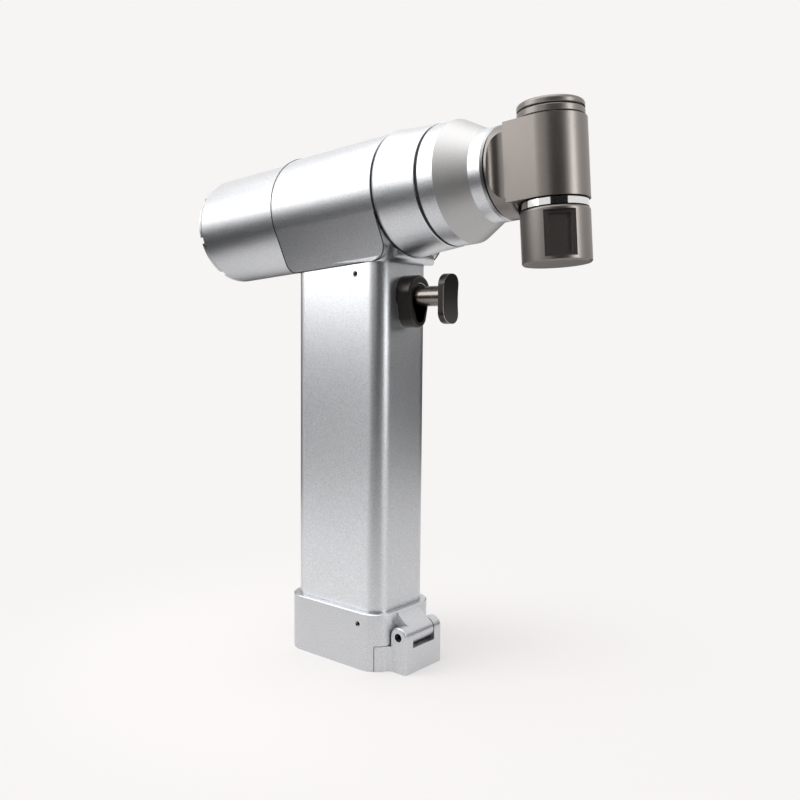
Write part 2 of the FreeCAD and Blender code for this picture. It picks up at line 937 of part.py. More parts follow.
def make_trigger_bezel():
    body = new_body("trigger_bezel")
    crown = S.trigger_height + S.bezel_lift
    foot = S.bezel_screw_height
    lean = (S.bezel_radius - S.bezel_foot_radius) / (crown - foot)
    spread = root(1 - lean * lean)
    outline = [
        (S.bezel_radius * spread, crown - S.bezel_radius * lean),
        (0, crown + S.bezel_radius, S.bezel_radius, 1),
        (-S.bezel_radius * spread, crown - S.bezel_radius * lean, S.bezel_radius, 1),
        (-S.bezel_foot_radius * spread, foot - S.bezel_foot_radius * lean),
        (0, foot - S.bezel_foot_radius, S.bezel_foot_radius, 1),
        (
            S.bezel_foot_radius * spread,
            foot - S.bezel_foot_radius * lean,
            S.bezel_foot_radius,
            1,
        ),
    ]
    pad(body, "YZ_Plane", [outline], S.bezel_depth, lift=grip_half)
    dress(
        body,
        "Fillet",
        S.bezel_edge,
        lambda edge, middle: near(middle.x, bezel_front),
    )
    shaft_hole = [(0, S.trigger_height, S.shaft_radius + S.seat_gap)]
    drill(body, "YZ_Plane", shaft_hole, None, lift=bezel_front)
    seal_seat = [(0, S.trigger_height, S.seal_radius)]
    drill(body, "YZ_Plane", seal_seat, S.seal_depth, lift=bezel_front)
    screw_seat = [(0, S.bezel_screw_height, S.bezel_hole_radius)]
    drill(
        body,
        "YZ_Plane",
        screw_seat,
        S.bezel_depth - S.bezel_floor,
        lift=bezel_front,
    )
    screw_hole = [(0, S.bezel_screw_height, S.bezel_screw_radius)]
    drill(body, "YZ_Plane", screw_hole, None, lift=bezel_front)


def make_trigger_seal():
    body = new_body("trigger_seal")
    place(body, 0, S.trigger_height)
    back = bezel_front - S.seal_depth
    front = bezel_front - S.seal_depth / 3
    spin(
        body,
        [
            (back, shaft_bore),
            (front, shaft_bore),
            (front, S.seal_radius - S.running_fit),
            (back, S.seal_radius - S.running_fit),
        ],
    )


def make_bezel_screw():
    body = new_body("bezel_screw")
    place(body, 0, S.bezel_screw_height)
    head_back = grip_half + S.bezel_floor
    head_front = head_back + S.bezel_screw_radius
    head_radius = S.bezel_hole_radius - S.seat_gap
    thread = S.bezel_screw_radius - S.running_fit / 2
    spin(
        body,
        [
            (tube_half - S.flange_thickness, 0),
            (head_front, 0),
            (head_front, head_radius),
            (head_back, head_radius),
            (head_back, thread),
            (tube_half - S.flange_thickness, thread),
        ],
    )
    hexagon = [
        (S.socket_radius * 2 * cosine(60 * corner), S.socket_radius * 2 * sine(60 * corner))
        for corner in range(6)
    ]
    cut(body, "YZ_Plane", [hexagon], S.socket_depth / 2, lift=head_front)


def make_trigger_shaft():
    body = new_body("trigger_shaft")
    place(body, 0, S.trigger_height)
    spin(
        body,
        [
            (S.shaft_back + S.magnet_length, 0),
            (S.pad_back + S.stud_length, 0),
            (S.pad_back + S.stud_length, S.stud_radius),
            (S.pad_back, S.stud_radius),
            (S.pad_back, S.shaft_radius),
            (S.shaft_back, S.shaft_radius),
            (S.shaft_back, S.magnet_radius),
            (S.shaft_back + S.magnet_length, S.magnet_radius),
        ],
    )


def make_trigger_magnet():
    body = new_body("trigger_magnet")
    place(body, 0, S.trigger_height)
    spin(
        body,
        [
            (S.shaft_back, 0),
            (S.shaft_back + S.magnet_length - S.seat_gap, 0),
            (S.shaft_back + S.magnet_length - S.seat_gap, S.magnet_radius - S.seat_gap),
            (S.shaft_back, S.magnet_radius - S.seat_gap),
        ],
    )


def make_trigger_pad():
    body = new_body("trigger_pad")
    half_height = (S.pad_top - S.pad_bottom) / 2
    hollow_radius = (half_height * half_height + S.pad_hollow * S.pad_hollow) / (
        2 * S.pad_hollow
    )
    side_view = [
        (S.pad_back, S.pad_bottom),
        (S.pad_front, S.pad_bottom),
        (S.pad_front, S.pad_top, hollow_radius, -1),
        (S.pad_back, S.pad_top),
    ]
    pad(body, "XZ_Plane", [side_view], S.paddle_width, symmetric=True)
    dress(
        body,
        "Fillet",
        S.paddle_corner,
        lambda edge, middle: isinstance(edge.Curve, Part.Line)
        and abs(edge.Curve.Direction.x) > 0.999,
    )
    socket = [(0, S.trigger_height, S.stud_radius + S.running_fit)]
    drill(
        body,
        "YZ_Plane",
        socket,
        S.stud_length + S.seat_gap,
        lift=S.pad_back,
        back=True,
    )


# Main housing: barrel saddle, flanks, neck and spigot

def tilt_with_barrel(sketch, along, height=None):
    """Lays a sketch of the YZ plane square to the barrel axis, a distance along it."""
    along = term(along)
    x = along * cosine(S.barrel_tilt)
    z = S.axis_height + along * sine(S.barrel_tilt)
    sketch.AttachmentOffset = Placement(
        Vector(0, z.number, x.number), Rotation(Vector(1, 0, 0), -S.barrel_tilt.number)
    )
    sketch.setExpression(
        "AttachmentOffset",
        f"create(<<placement>>; create(<<vector>>; 0; {z.text}; {x.text}); "
        f"create(<<rotation>>; create(<<vector>>; 1; 0; 0); {(-S.barrel_tilt).text}))",
    )


def barrel_disc(body, start, end, radius, cutting=False):
    """A cylinder on the barrel axis, added to the body or cut from it."""
    sketch = new_sketch(body, "YZ_Plane")
    tilt_with_barrel(sketch, start)
    add_circle(sketch, 0, 0, radius)
    name = body.Name + ("_bore" if cutting else "_drum")
    return extrude(sketch, term(end) - start, name, back=cutting, cut=cutting)


def flank_section():
    """Section through the saddle: the barrel's round running down through fillets to the flanks."""
    reach = S.saddle_radius + S.flank_fillet
    side = S.flank_half + S.flank_fillet
    drop = root(reach * reach - side * side)
    share = S.saddle_radius / reach
    foot = S.grip_top - S.spigot_depth - S.axis_height
    return [
        (-S.flank_half, foot),
        (S.flank_half, foot),
        (S.flank_half, -drop),
        (side * share, -drop * share, S.flank_fillet, -1),
        (0, S.saddle_radius, S.saddle_radius, 1),
        (-side * share, -drop * share, S.saddle_radius, 1),
        (-S.flank_half, -drop, S.flank_fillet, -1),
    ]


def make_main_housing():
    body = new_body("main_housing")
    sketch = new_sketch(body, "YZ_Plane")
    tilt_with_barrel(sketch, S.saddle_back)
    add_loop(sketch, flank_section())
    extrude(sketch, S.flank_front - S.saddle_back, "flanks")
    below = box(-FAR, FAR, -FAR, FAR)
    cut(body, "XY_Plane", [below], None, lift=S.grip_top)
    dress(
        body,
        "Fillet",
        S.flank_corner,
        lambda edge, middle: isinstance(edge.Curve, Part.Line)
        and abs(edge.Curve.Direction.y) > 0.999
        and near(middle.z, S.grip_top)
        and middle.x > 0,
    )
    barrel_disc(body, S.saddle_back, S.saddle_front, S.saddle_radius)
    over_grip = box(-grip_half - S.slide_fit, FAR, -FAR, FAR)
    cut(body, "XY_Plane", [over_grip], None, lift=S.grip_top)
    neck = rounded_box(-grip_half, S.lip_front, grip_side, S.grip_corner)
    pad(body, "XY_Plane", [neck], S.axis_height - S.grip_top, lift=S.grip_top)
    chin = [
        (S.lip_front - S.lip_round, S.grip_top),
        (S.lip_front, S.grip_top + S.lip_round, S.lip_round, 1),
        (S.lip_front + S.lip_round, S.grip_top + S.lip_round),
        (S.lip_front + S.lip_round, S.grip_top),
    ]
    cut(body, "XZ_Plane", [chin], FAR, symmetric=True)
    ring_room = S.ring_flare_radius + S.lip_gap
    barrel_disc(body, S.saddle_front, S.saddle_front + FAR, ring_room, cutting=True)
    spigot = rounded_box(
        -tube_half + S.slide_fit,
        tube_half - S.slide_fit,
        tube_side - S.slide_fit,
        tube_corner - S.slide_fit,
    )
    pad(body, "XY_Plane", [spigot], S.spigot_depth, lift=S.grip_top, back=True)
    duct = rounded_box(
        -tube_half + S.spigot_wall,
        tube_half - S.spigot_wall,
        tube_side - S.spigot_wall,
        tube_corner - S.spigot_wall,
    )
    cut(
        body,
        "XY_Plane",
        [duct],
        S.axis_height - S.grip_top + S.spigot_depth,
        lift=S.grip_top - S.spigot_depth,
        back=True,
    )
    barrel_disc(
        body, S.saddle_back - 1, S.saddle_front + 1, S.bore_radius, cutting=True
    )
    barrel_disc(
        body,
        S.saddle_back - 1,
        S.saddle_back + S.sleeve_engagement + S.seam,
        S.sleeve_spigot + S.running_fit,
        cutting=True,
    )
    drill(body, "XZ_Plane", SIDE_SCREWS[:1], FAR, symmetric=True)


# Rear of the barrel

cap_front = S.barrel_back + S.cap_thickness
sleeve_back = cap_front + S.seam
sleeve_front = S.saddle_back - S.seam


def make_rear_sleeve():
    body = new_body("rear_sleeve")
    place_on_barrel(body)
    spin(
        body,
        [
            (sleeve_back, S.cap_plug + S.running_fit),
            (sleeve_back, S.sleeve_radius),
            (sleeve_front, S.sleeve_radius),
            (sleeve_front, S.sleeve_spigot),
            (S.saddle_back + S.sleeve_engagement, S.sleeve_spigot),
            (S.saddle_back + S.sleeve_engagement, S.sleeve_bore),
            (cap_front + S.cap_plug_length + S.seam, S.sleeve_bore),
            (
                cap_front + S.cap_plug_length + S.seam,
                S.cap_plug + S.running_fit,
            ),
        ],
    )


def make_rear_cap():
    body = new_body("rear_cap")
    place_on_barrel(body)
    wall = S.cap_plug - S.grip_wall
    spin(
        body,
        [
            (S.barrel_back, 0),
            (S.barrel_back, S.sleeve_radius - S.seam),
            (S.barrel_back + S.seam, S.sleeve_radius),
            (cap_front, S.sleeve_radius),
            (cap_front, S.cap_plug),
            (cap_front + S.cap_plug_length, S.cap_plug),
            (cap_front + S.cap_plug_length, wall),
            (cap_front + S.grip_wall, wall),
            (cap_front + S.grip_wall, 0),
        ],
    )
    notches = new_sketch(body, "YZ_Plane", S.barrel_back)
    for index in range(int(S.notch_count.number)):
        angle = S.notch_angle + index * (360 / int(S.notch_count.number))
        along = Term(angle.text, angle.number)
        corners = []
        for radial, across in ((-1, -1), (1, -1), (1, 1), (-1, 1)):
            out = S.sleeve_radius + radial * S.notch_depth
            aside = across * S.notch_width / 2
            corners.append(
                (
                    out * cosine(along) - aside * sine(along),
                    out * sine(along) + aside * cosine(along),
                )
            )
        add_loop(notches, corners)
    extrude(notches, S.cap_thickness, "cap_notches", back=True, cut=True)


# Front ring, seal ring and nose

def make_front_ring():
    body = new_body("front_ring")
    place_on_barrel(body)
    flare_edge = S.ring_flare_radius - S.ring_lead
    bearing_end = S.rear_bearing_back + S.drive_bearing_width
    spin(
        body,
        [
            (S.ring_spigot_back, S.ring_spigot_bore),
            (S.ring_spigot_back, S.bore_radius - S.running_fit),
            (S.saddle_front + S.seam, S.bore_radius - S.running_fit),
            (S.ring_start, flare_edge - S.ring_lead),
            (S.ring_start, flare_edge),
            (
                S.ring_flare_reach,
                S.ring_flare_radius,
                (S.ring_flare_reach - S.ring_start) * 1.6,
                -1,
            ),
            (S.ring_waist_reach, S.ring_waist_radius),
            (S.ring_end, S.ring_end_radius),
            (S.ring_end, S.nose_spigot + S.running_fit),
            (bearing_end, S.nose_spigot + S.running_fit),
            (bearing_end, S.drive_bearing_radius + S.running_fit / 2),
            (S.rear_bearing_back, S.drive_bearing_radius + S.running_fit / 2),
            (S.rear_bearing_back, S.drive_bearing_radius - 1),
            (S.rear_bearing_back - 1, S.drive_bearing_radius - 1),
            (S.rear_bearing_back - 1, S.ring_spigot_bore),
        ],
    )


def make_nose_seal():
    body = new_body("nose_seal")
    place_on_barrel(body)
    crown = S.seal_ring_radius
    spin(
        body,
        [
            (S.ring_end, S.nose_spigot + S.running_fit),
            (S.ring_end, crown - S.seam),
            (S.ring_end + S.seam, crown),
            (S.seal_ring_end - S.seam, crown),
            (S.seal_ring_end, crown - S.seam),
            (S.seal_ring_end, S.nose_spigot + S.running_fit),
        ],
    )


def make_nose_cone():
    body = new_body("nose_cone")
    place_on_barrel(body)
    bearing_end = S.front_bearing_back + S.drive_bearing_width
    bearing_bore = S.drive_bearing_radius + S.running_fit / 2
    spin(
        body,
        [
            (S.nose_spigot_back, S.nose_cavity),
            (S.nose_spigot_back, S.nose_spigot),
            (S.seal_ring_end, S.nose_spigot),
            (S.seal_ring_end, S.nose_band_radius - S.nose_edge / 2),
            (S.seal_ring_end + S.nose_edge / 2, S.nose_band_radius),
            (S.nose_band_end, S.nose_band_radius),
            (S.nose_taper_end, S.nose_radius),
            (S.nose_end - S.nose_edge, S.nose_radius),
            (S.nose_end, S.nose_radius - S.nose_edge),
            (S.nose_end, S.nose_bore),
            (S.nose_bore_back, S.nose_bore),
            (S.nose_bore_back, S.drive_bearing_radius - 1),
            (bearing_end, S.drive_bearing_radius - 1),
            (bearing_end, bearing_bore),
            (S.front_bearing_back - 1, bearing_bore),
            (S.front_bearing_back - 1, S.nose_cavity),
        ],
    )


# Motor and drive train


def ring_section(back, front, inner, outer):
    return [(back, inner), (front, inner), (front, outer), (back, outer)]


def make_ring(name, back, front, inner, outer, along=0, axis="H_Axis"):
    """A plain ring: on the barrel axis, or on the head axis when axis is V_Axis."""
    body = new_body(name)
    place_on_barrel(body, along)
    section = ring_section(back, front, inner, outer)
    if axis == "V_Axis":
        section = [(radius, height) for height, radius in section]
    spin(body, section, axis)
    return body


def make_motor():
    body = new_body("motor_can")
    place_on_barrel(body)
    inner = S.can_radius - S.can_wall
    wall_back = S.can_front - S.bell_thickness
    seat = S.motor_bearing_radius + S.running_fit / 2
    spin(
        body,
        [
            (S.can_back + S.bell_thickness, inner),
            (wall_back, inner),
            (wall_back, seat),
            (wall_back + S.motor_bearing_width, seat),
            (wall_back + S.motor_bearing_width, S.motor_bearing_radius - 1),
            (S.can_front, S.motor_bearing_radius - 1),
            (S.can_front, S.can_radius),
            (S.can_back + S.bell_thickness, S.can_radius),
        ],
    )
    bell = new_body("motor_bell")
    place_on_barrel(bell)
    bell_front = S.can_back + S.bell_thickness - S.seam
    spin(
        bell,
        [
            (S.can_back, S.motor_bearing_radius - 1),
            (bell_front - S.motor_bearing_width, S.motor_bearing_radius - 1),
            (bell_front - S.motor_bearing_width, seat),
            (bell_front, seat),
            (bell_front, S.can_radius),
            (S.can_back, S.can_radius),
        ],
    )
    make_ring(
        "stator", S.stator_back, S.stator_front, S.stator_inner, inner - S.running_fit
    )
    make_ring(
        "motor_bearing_rear",
        bell_front - S.motor_bearing_width,
        bell_front,
        S.motor_shaft_radius + S.running_fit,
        S.motor_bearing_radius,
    )
    make_ring(
        "motor_bearing_front",
        wall_back,
        wall_back + S.motor_bearing_width,
        S.motor_shaft_radius + S.running_fit,
        S.motor_bearing_radius,
    )


def make_rotor():
    shaft = new_body("motor_shaft")
    place_on_barrel(shaft)
    radius = S.motor_shaft_radius
    section = [
        (S.motor_shaft_back, 0),
        (S.motor_shaft_front, 0),
        (S.motor_shaft_front, radius),
        (S.motor_shaft_back, radius),
    ]
    spin(shaft, section)
    make_ring(
        "rotor_core",
        S.rotor_back,
        S.rotor_front,
        radius,
        S.rotor_radius,
    )
    coupling = new_body("coupling")
    place_on_barrel(coupling)
    drive = S.drive_shaft_radius
    spin(
        coupling,
        [
            (S.coupling_back, radius),
            (S.coupling_back + S.coupling_grip, radius),
            (S.coupling_back + S.coupling_grip, 0),
            (S.coupling_front - S.coupling_grip, 0),
            (S.coupling_front - S.coupling_grip, drive),
            (S.coupling_front, drive),
            (S.coupling_front, S.coupling_radius),
            (S.coupling_back, S.coupling_radius),
        ],
    )


def make_drive_shaft():
    shaft = new_body("drive_shaft")
    place_on_barrel(shaft)
    back = S.coupling_front - S.coupling_grip
    spin(
        shaft,
        [
            (back, 0),
            (S.drive_shaft_front, 0),
            (S.drive_shaft_front, S.drive_shaft_radius),
            (back, S.drive_shaft_radius),
        ],
    )
    crank = new_sketch(shaft, "YZ_Plane", S.drive_shaft_front)
    add_circle(crank, 0, S.throw, S.crank_radius)
    extrude(crank, S.crank_front - S.drive_shaft_front, "crank_pad")
    for name, back in (
        ("drive_bearing_rear", S.rear_bearing_back),
        ("drive_bearing_front", S.front_bearing_back),
    ):
        make_ring(
            name,
            back,
            back + S.drive_bearing_width,
            S.drive_shaft_radius + S.running_fit,
            S.drive_bearing_radius,
        )
    roller = new_body("crank_roller")
    place_on_barrel(roller)
    sketch = new_sketch(roller, "YZ_Plane", S.roller_back)
    add_circle(sketch, 0, S.throw, S.roller_radius)
    add_circle(sketch, 0, S.throw, S.crank_radius)
    extrude(sketch, S.roller_width, "roller_pad")


# Head

rear_rim = S.head_start - S.head_reach
shoulder = -S.shoulder_reach


def make_head_body():
    body = new_body("head_body")
    place_on_barrel(body, S.head_reach)
    round_start = shoulder - S.head_shoulder_round
    spigot_back = S.head_spigot_back - S.head_reach
    spin(
        body,
        [
            (spigot_back, 0),
            (shoulder, 0),
            (shoulder, S.nose_radius - S.head_shoulder_round),
            (round_start, S.nose_radius, S.head_shoulder_round, 1),
            (rear_rim + S.head_rim_length, S.nose_radius),
            (rear_rim, S.head_rim),
            (rear_rim, S.nose_bore - S.running_fit),
            (spigot_back, S.nose_bore - S.running_fit),
        ],
    )
    flat = S.flat_start - S.head_reach
    for side in (1, -1):
        pocket = [
            (flat, side * S.head_half),
            (
                flat - S.flat_round,
                side * (S.head_half + S.flat_round),
                S.flat_round,
                -side,
            ),
            (flat - S.flat_round, side * S.nose_radius * 2),
            (shoulder + S.flat_round, side * S.nose_radius * 2),
            (shoulder + S.flat_round, side * S.head_half),
        ]
        cut(body, "XY_Plane", [pocket], FAR, symmetric=True)
    plan = [
        (flat, -S.head_half),
        (0, -S.head_half),
        (S.head_half, 0, S.head_half, 1),
        (0, S.head_half, S.head_half, 1),
        (flat, S.head_half),
    ]
    height = S.head_top - S.head_bottom
    pad(body, "XY_Plane", [plan], height, lift=S.head_bottom)
    drill(body, "XY_Plane", [(0, 0, S.head_bore)], None, lift=S.head_top)
    relief = [(0, 0, S.knob_radius + S.hinge_clearance)]
    drill(body, "XY_Plane", relief, FAR, lift=S.head_bottom)
    cap_room = [(0, 0, S.cap_radius + S.hinge_clearance)]
    drill(body, "XY_Plane", cap_room, FAR, lift=S.head_top, back=True)
    cavity = new_sketch(body, "YZ_Plane", spigot_back)
    add_circle(cavity, 0, 0, S.head_cavity)
    extrude(cavity, -spigot_back, "cavity", back=True, cut=True)


def make_head_caps():
    groove_one = S.head_top + S.cap_groove
    ring_top = groove_one + S.cap_ring_height
    groove_two = ring_top + S.cap_groove
    top = groove_two + S.cap_height
    ring = new_body("head_cap_ring")
    place_on_barrel(ring, S.head_reach)
    spin(
        ring,
        [
            (0, S.cap_plug_bottom),
            (S.cap_plug_radius, S.cap_plug_bottom),
            (S.cap_plug_radius, groove_one),
            (S.cap_radius, groove_one),
            (S.cap_radius, ring_top),
            (0, ring_top),
        ],
        "V_Axis",
    )
    cap = new_body("head_cap")
    place_on_barrel(cap, S.head_reach)
    spin(
        cap,
        [
            (0, ring_top),
            (S.cap_boss, ring_top),
            (S.cap_boss, groove_two),
            (S.cap_radius, groove_two),
            (S.cap_radius, top - S.cap_round),
            (S.cap_radius - S.cap_round, top, S.cap_round, 1),
            (0, top),
        ],
        "V_Axis",
    )
    for name, bottom, inner in (
        ("head_seal_lower", S.head_top, S.cap_plug_radius),
        ("head_seal_upper", ring_top, S.cap_boss),
    ):
        make_ring(
            name,
            bottom,
            bottom + S.cap_groove,
            inner,
            S.cap_seal_radius,
            S.head_reach,
            "V_Axis",
        )


def make_output():
    shaft = new_body("output_shaft")
    place_on_barrel(shaft, S.head_reach)
    spin(
        shaft,
        [
            (0, S.output_bottom),
            (S.output_radius, S.output_bottom),
            (S.output_radius, -S.fork_half_height),
            (S.fork_hub, -S.fork_half_height),
            (S.fork_hub, S.fork_half_height),
            (S.output_radius, S.fork_half_height),
            (S.output_radius, S.output_top),
            (0, S.output_top),
        ],
        "V_Axis",
    )
    outer, inner = S.fork_half_width, S.fork_slot_half
    fork = [
        (-S.fork_reach, -outer),
        (-S.fork_slot_root + S.fork_shoulder, -outer),
        (0, -S.fork_hub),
        (0, S.fork_hub),
        (-S.fork_slot_root + S.fork_shoulder, outer),
        (-S.fork_reach, outer),
        (-S.fork_reach, inner),
        (-S.fork_slot_root, inner),
        (-S.fork_slot_root, -inner),
        (-S.fork_reach, -inner),
    ]
    thickness = 2 * S.fork_half_height
    sketch = new_sketch(shaft, "XY_Plane")
    add_loop(sketch, fork)
    extrude(sketch, thickness, "fork_pad", symmetric=True)
    for name, bottom in (
        ("output_bearing_upper", S.output_bearing_offset),
        (
            "output_bearing_lower",
            -S.output_bearing_offset - S.output_bearing_width,
        ),
    ):
        make_ring(
            name,
            bottom,
            bottom + S.output_bearing_width,
            S.output_radius + S.running_fit,
            S.output_bearing_radius,
            S.head_reach,
            "V_Axis",
        )
    seat = new_body("blade_seat")
    place_on_barrel(seat, S.head_reach)
    spin(
        seat,
        [
            (S.output_radius, S.seat_bottom),
            (S.seat_radius, S.seat_bottom),
            (S.seat_radius, S.seat_top - S.seat_edge),
            (S.seat_radius - S.seat_edge, S.seat_top),
            (S.output_radius, S.seat_top),
        ],
        "V_Axis",
    )
    nut = new_body("spindle_nut")
    place_on_barrel(nut, S.head_reach)
    spin(
        nut,
        [
            (0, S.nut_bottom),
            (S.nut_radius, S.nut_bottom),
            (S.nut_radius, S.nut_top),
            (S.output_radius, S.nut_top),
            (S.output_radius, S.output_bottom),
            (0, S.output_bottom),
        ],
        "V_Axis",
    )


# Blade clamp

ceiling = S.knob_top - S.knob_ceiling
plate_top = S.knob_bottom + S.knob_plate_thickness


def make_clamp_knob():
    body = new_body("clamp_knob")
    place_on_barrel(body, S.head_reach)
    spin(
        body,
        [
            (S.output_radius + S.running_fit, ceiling),
            (S.knob_cavity, ceiling),
            (S.knob_cavity, plate_top),
            (S.knob_plate_radius, plate_top),
            (S.knob_plate_radius, S.knob_bottom),
            (S.knob_radius - S.knob_edge, S.knob_bottom),
            (S.knob_radius, S.knob_bottom + S.knob_edge),
            (S.knob_radius, S.knob_top - S.knob_round),
            (S.knob_radius - S.knob_round, S.knob_top, S.knob_round, 1),
            (S.output_radius + S.running_fit, S.knob_top),
        ],
        "V_Axis",
    )
    for distance, half, inset in (
        (S.facet_distance, S.facet_half, S.facet_inset),
        (S.recess_distance, S.recess_half, S.recess_inset),
    ):
        low = S.knob_bottom + inset
        high = S.knob_top - inset
        for turn in (0, 180):
            sketch = new_sketch(body, "XY_Plane", low)
            along = S.recess_azimuth + turn
            corners = []
            for out, aside in (
                (distance, -half),
                (S.knob_radius * 2, -half),
                (S.knob_radius * 2, half),
                (distance, half),
            ):
                corners.append(
                    (
                        out * cosine(along) - aside * sine(along),
                        out * sine(along) + aside * cosine(along),
                    )
                )
            add_loop(sketch, corners)
            extrude(sketch, high - low, "finger_recess", back=True, cut=True)


def make_knob_plate():
    body = new_body("knob_plate")
    place_on_barrel(body, S.head_reach)
    spin(
        body,
        [
            (0, S.knob_bottom),
            (S.knob_plate_radius, S.knob_bottom),
            (S.knob_plate_radius, plate_top),
            (0, plate_top),
        ],
        "V_Axis",
    )


# Springs

SPRING_SIDES = 12
WIRE_SIDES = 6


def coil(radius, wire, start, end, turns):
    """A coil spring about Z from start to end, as straight runs of wire."""
    length = end - start - 2 * wire
    steps = SPRING_SIDES * turns
    path = []
    for step in range(steps + 1):
        angle = 2 * math.pi * step / SPRING_SIDES
        height = start + wire + length * step / steps
        path.append(Vector(radius * math.cos(angle), radius * math.sin(angle), height))
    run = (path[1] - path[0]).normalize()
    aside = Vector(0, 0, 1).cross(run).normalize()
    over = run.cross(aside)
    section = []
    for side in range(WIRE_SIDES + 1):
        angle = 2 * math.pi * side / WIRE_SIDES
        offset = aside * (wire * math.cos(angle)) + over * (wire * math.sin(angle))
        section.append(path[0] + offset)
    profile = Part.makePolygon(section)
    return Part.makePolygon(path).makePipeShell([profile], True, False, 1)


def make_spring(name, shape):
    feature = doc.addObject("Part::Feature", name)
    feature.Label = name
    feature.Shape = shape
    NODES.append(feature)
    return feature


def make_springs():
    start = S.guide_back + S.guide_floor + S.seat_gap
    trigger_spring = make_spring(
        "trigger_spring",
        coil(
            S.trigger_spring_radius.number,
            S.trigger_wire.number,
            start.number,
            (S.shaft_back - S.seat_gap).number,
            5,
        ),
    )
    place(trigger_spring, 0, S.trigger_height, 90)
    clamp_spring = make_spring(
        "clamp_spring",
        coil(
            S.clamp_spring_radius.number,
            S.clamp_wire.number,
            (S.nut_top + S.seat_gap).number,
            (ceiling - S.seat_gap).number,
            4,
        ),
    )
    place_on_barrel(clamp_spring, S.head_reach)


make_grip_tube()
make_base_collar()
make_battery_lid()
make_hinge_pin()
make_lid_pad()
make_battery_pack()
make_contact_carrier()
make_contacts()
make_control_board()
make_side_screws()
make_trigger_guide()
make_trigger_bezel()
make_trigger_seal()
make_bezel_screw()
make_trigger_shaft()
make_trigger_magnet()
make_trigger_pad()
make_main_housing()
make_rear_sleeve()
make_rear_cap()
make_front_ring()
make_nose_seal()
make_nose_cone()
make_motor()
make_rotor()
make_drive_shaft()
make_head_body()
make_head_caps()
make_output()
make_clamp_knob()
make_knob_plate()
make_springs()

for node in NODES:
    node.touch()
doc.recompute()

for item in doc.Objects:
    for fault in ("Invalid", "Error"):
        if fault in item.State:
            raise RuntimeError(f"{item.Name} is {item.State}")

os.makedirs("parts", exist_ok=True)
for node in NODES:
    if node.Shape.isNull() or not node.Shape.isValid():
        raise RuntimeError(f"{node.Label} has no valid shape")
    if len(node.Shape.Solids) != 1:
        raise RuntimeError(f"{node.Label} has {len(node.Shape.Solids)} solids")
    node.Shape.exportStep(f"parts/{node.Label}.step")
print(len(NODES), "nodes written")
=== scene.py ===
"""Looks of a battery-powered surgical oscillating saw, standing on a pale studio floor."""

import json
import math

import bpy
import bmesh
from bpy.props import FloatProperty, FloatVectorProperty, PointerProperty
from mathutils import Matrix, Vector


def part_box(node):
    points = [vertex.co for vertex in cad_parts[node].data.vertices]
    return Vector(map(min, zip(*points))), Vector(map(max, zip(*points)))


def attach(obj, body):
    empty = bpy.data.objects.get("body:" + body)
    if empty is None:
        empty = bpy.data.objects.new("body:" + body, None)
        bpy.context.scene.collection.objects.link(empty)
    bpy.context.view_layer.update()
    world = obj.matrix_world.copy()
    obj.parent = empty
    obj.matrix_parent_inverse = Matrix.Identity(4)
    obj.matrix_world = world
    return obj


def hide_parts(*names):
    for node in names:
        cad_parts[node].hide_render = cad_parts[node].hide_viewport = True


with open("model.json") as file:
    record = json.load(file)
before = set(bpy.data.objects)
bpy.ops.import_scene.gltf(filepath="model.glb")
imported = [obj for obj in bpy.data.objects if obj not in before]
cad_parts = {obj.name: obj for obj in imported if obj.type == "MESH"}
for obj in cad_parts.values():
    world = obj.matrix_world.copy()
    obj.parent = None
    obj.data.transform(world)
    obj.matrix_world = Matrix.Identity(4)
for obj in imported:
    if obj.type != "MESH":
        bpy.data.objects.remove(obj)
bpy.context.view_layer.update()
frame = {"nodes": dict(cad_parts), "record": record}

bl_info = {
    "name": "Oscillating Saw",
    "version": (1, 0, 0),
    "blender": (4, 5, 0),
    "location": "View3D > Sidebar > Saw",
    "description": "Dresses the packed model of a pistol-grip oscillating saw",
    "category": "Object",
}

MM = 0.001


def linear(hexcode):
    """A colour written as sRGB hex, as linear RGBA."""
    channels = [int(hexcode[i : i + 2], 16) / 255 for i in (1, 3, 5)]
    return tuple(
        c / 12.92 if c <= 0.04045 else ((c + 0.055) / 1.055) ** 2.4 for c in channels
    ) + (1.0,)


def colour_property(name, description, hexcode):
    return FloatVectorProperty(
        name=name,
        description=description,
        subtype="COLOR",
        size=4,
        min=0,
        max=1,
        default=linear(hexcode),
    )


class SawColours(bpy.types.PropertyGroup):
    """The colours of the finishes."""

    aluminium: colour_property(
        "Aluminium", "Clear anodised aluminium after bead blasting", "#D2D4D7"
    )
    nose: colour_property("Nose taper", "Blasted taper of the nose", "#BFBFBF")
    titanium: colour_property("Head", "Blasted grey of the head and knob", "#837E7A")
    coating: colour_property("Coating", "Dark coating of trigger and guide", "#454341")
    # the seal's black also colours the dark beads that paint the shadow in the seams
    seal: colour_property("Seal", "Silicone rubber of seals and seams", "#1B1B1C")
    steel: colour_property("Steel", "Polished stainless steel", "#E4E4E3")
    shaft: colour_property("Trigger shaft", "Fine turned steel, not polished", "#8C8681")
    oxide: colour_property("Black oxide", "Blackened screws and pins", "#2A2A2C")
    paper: colour_property("Backdrop", "Pale studio paper", "#F7F5F4")


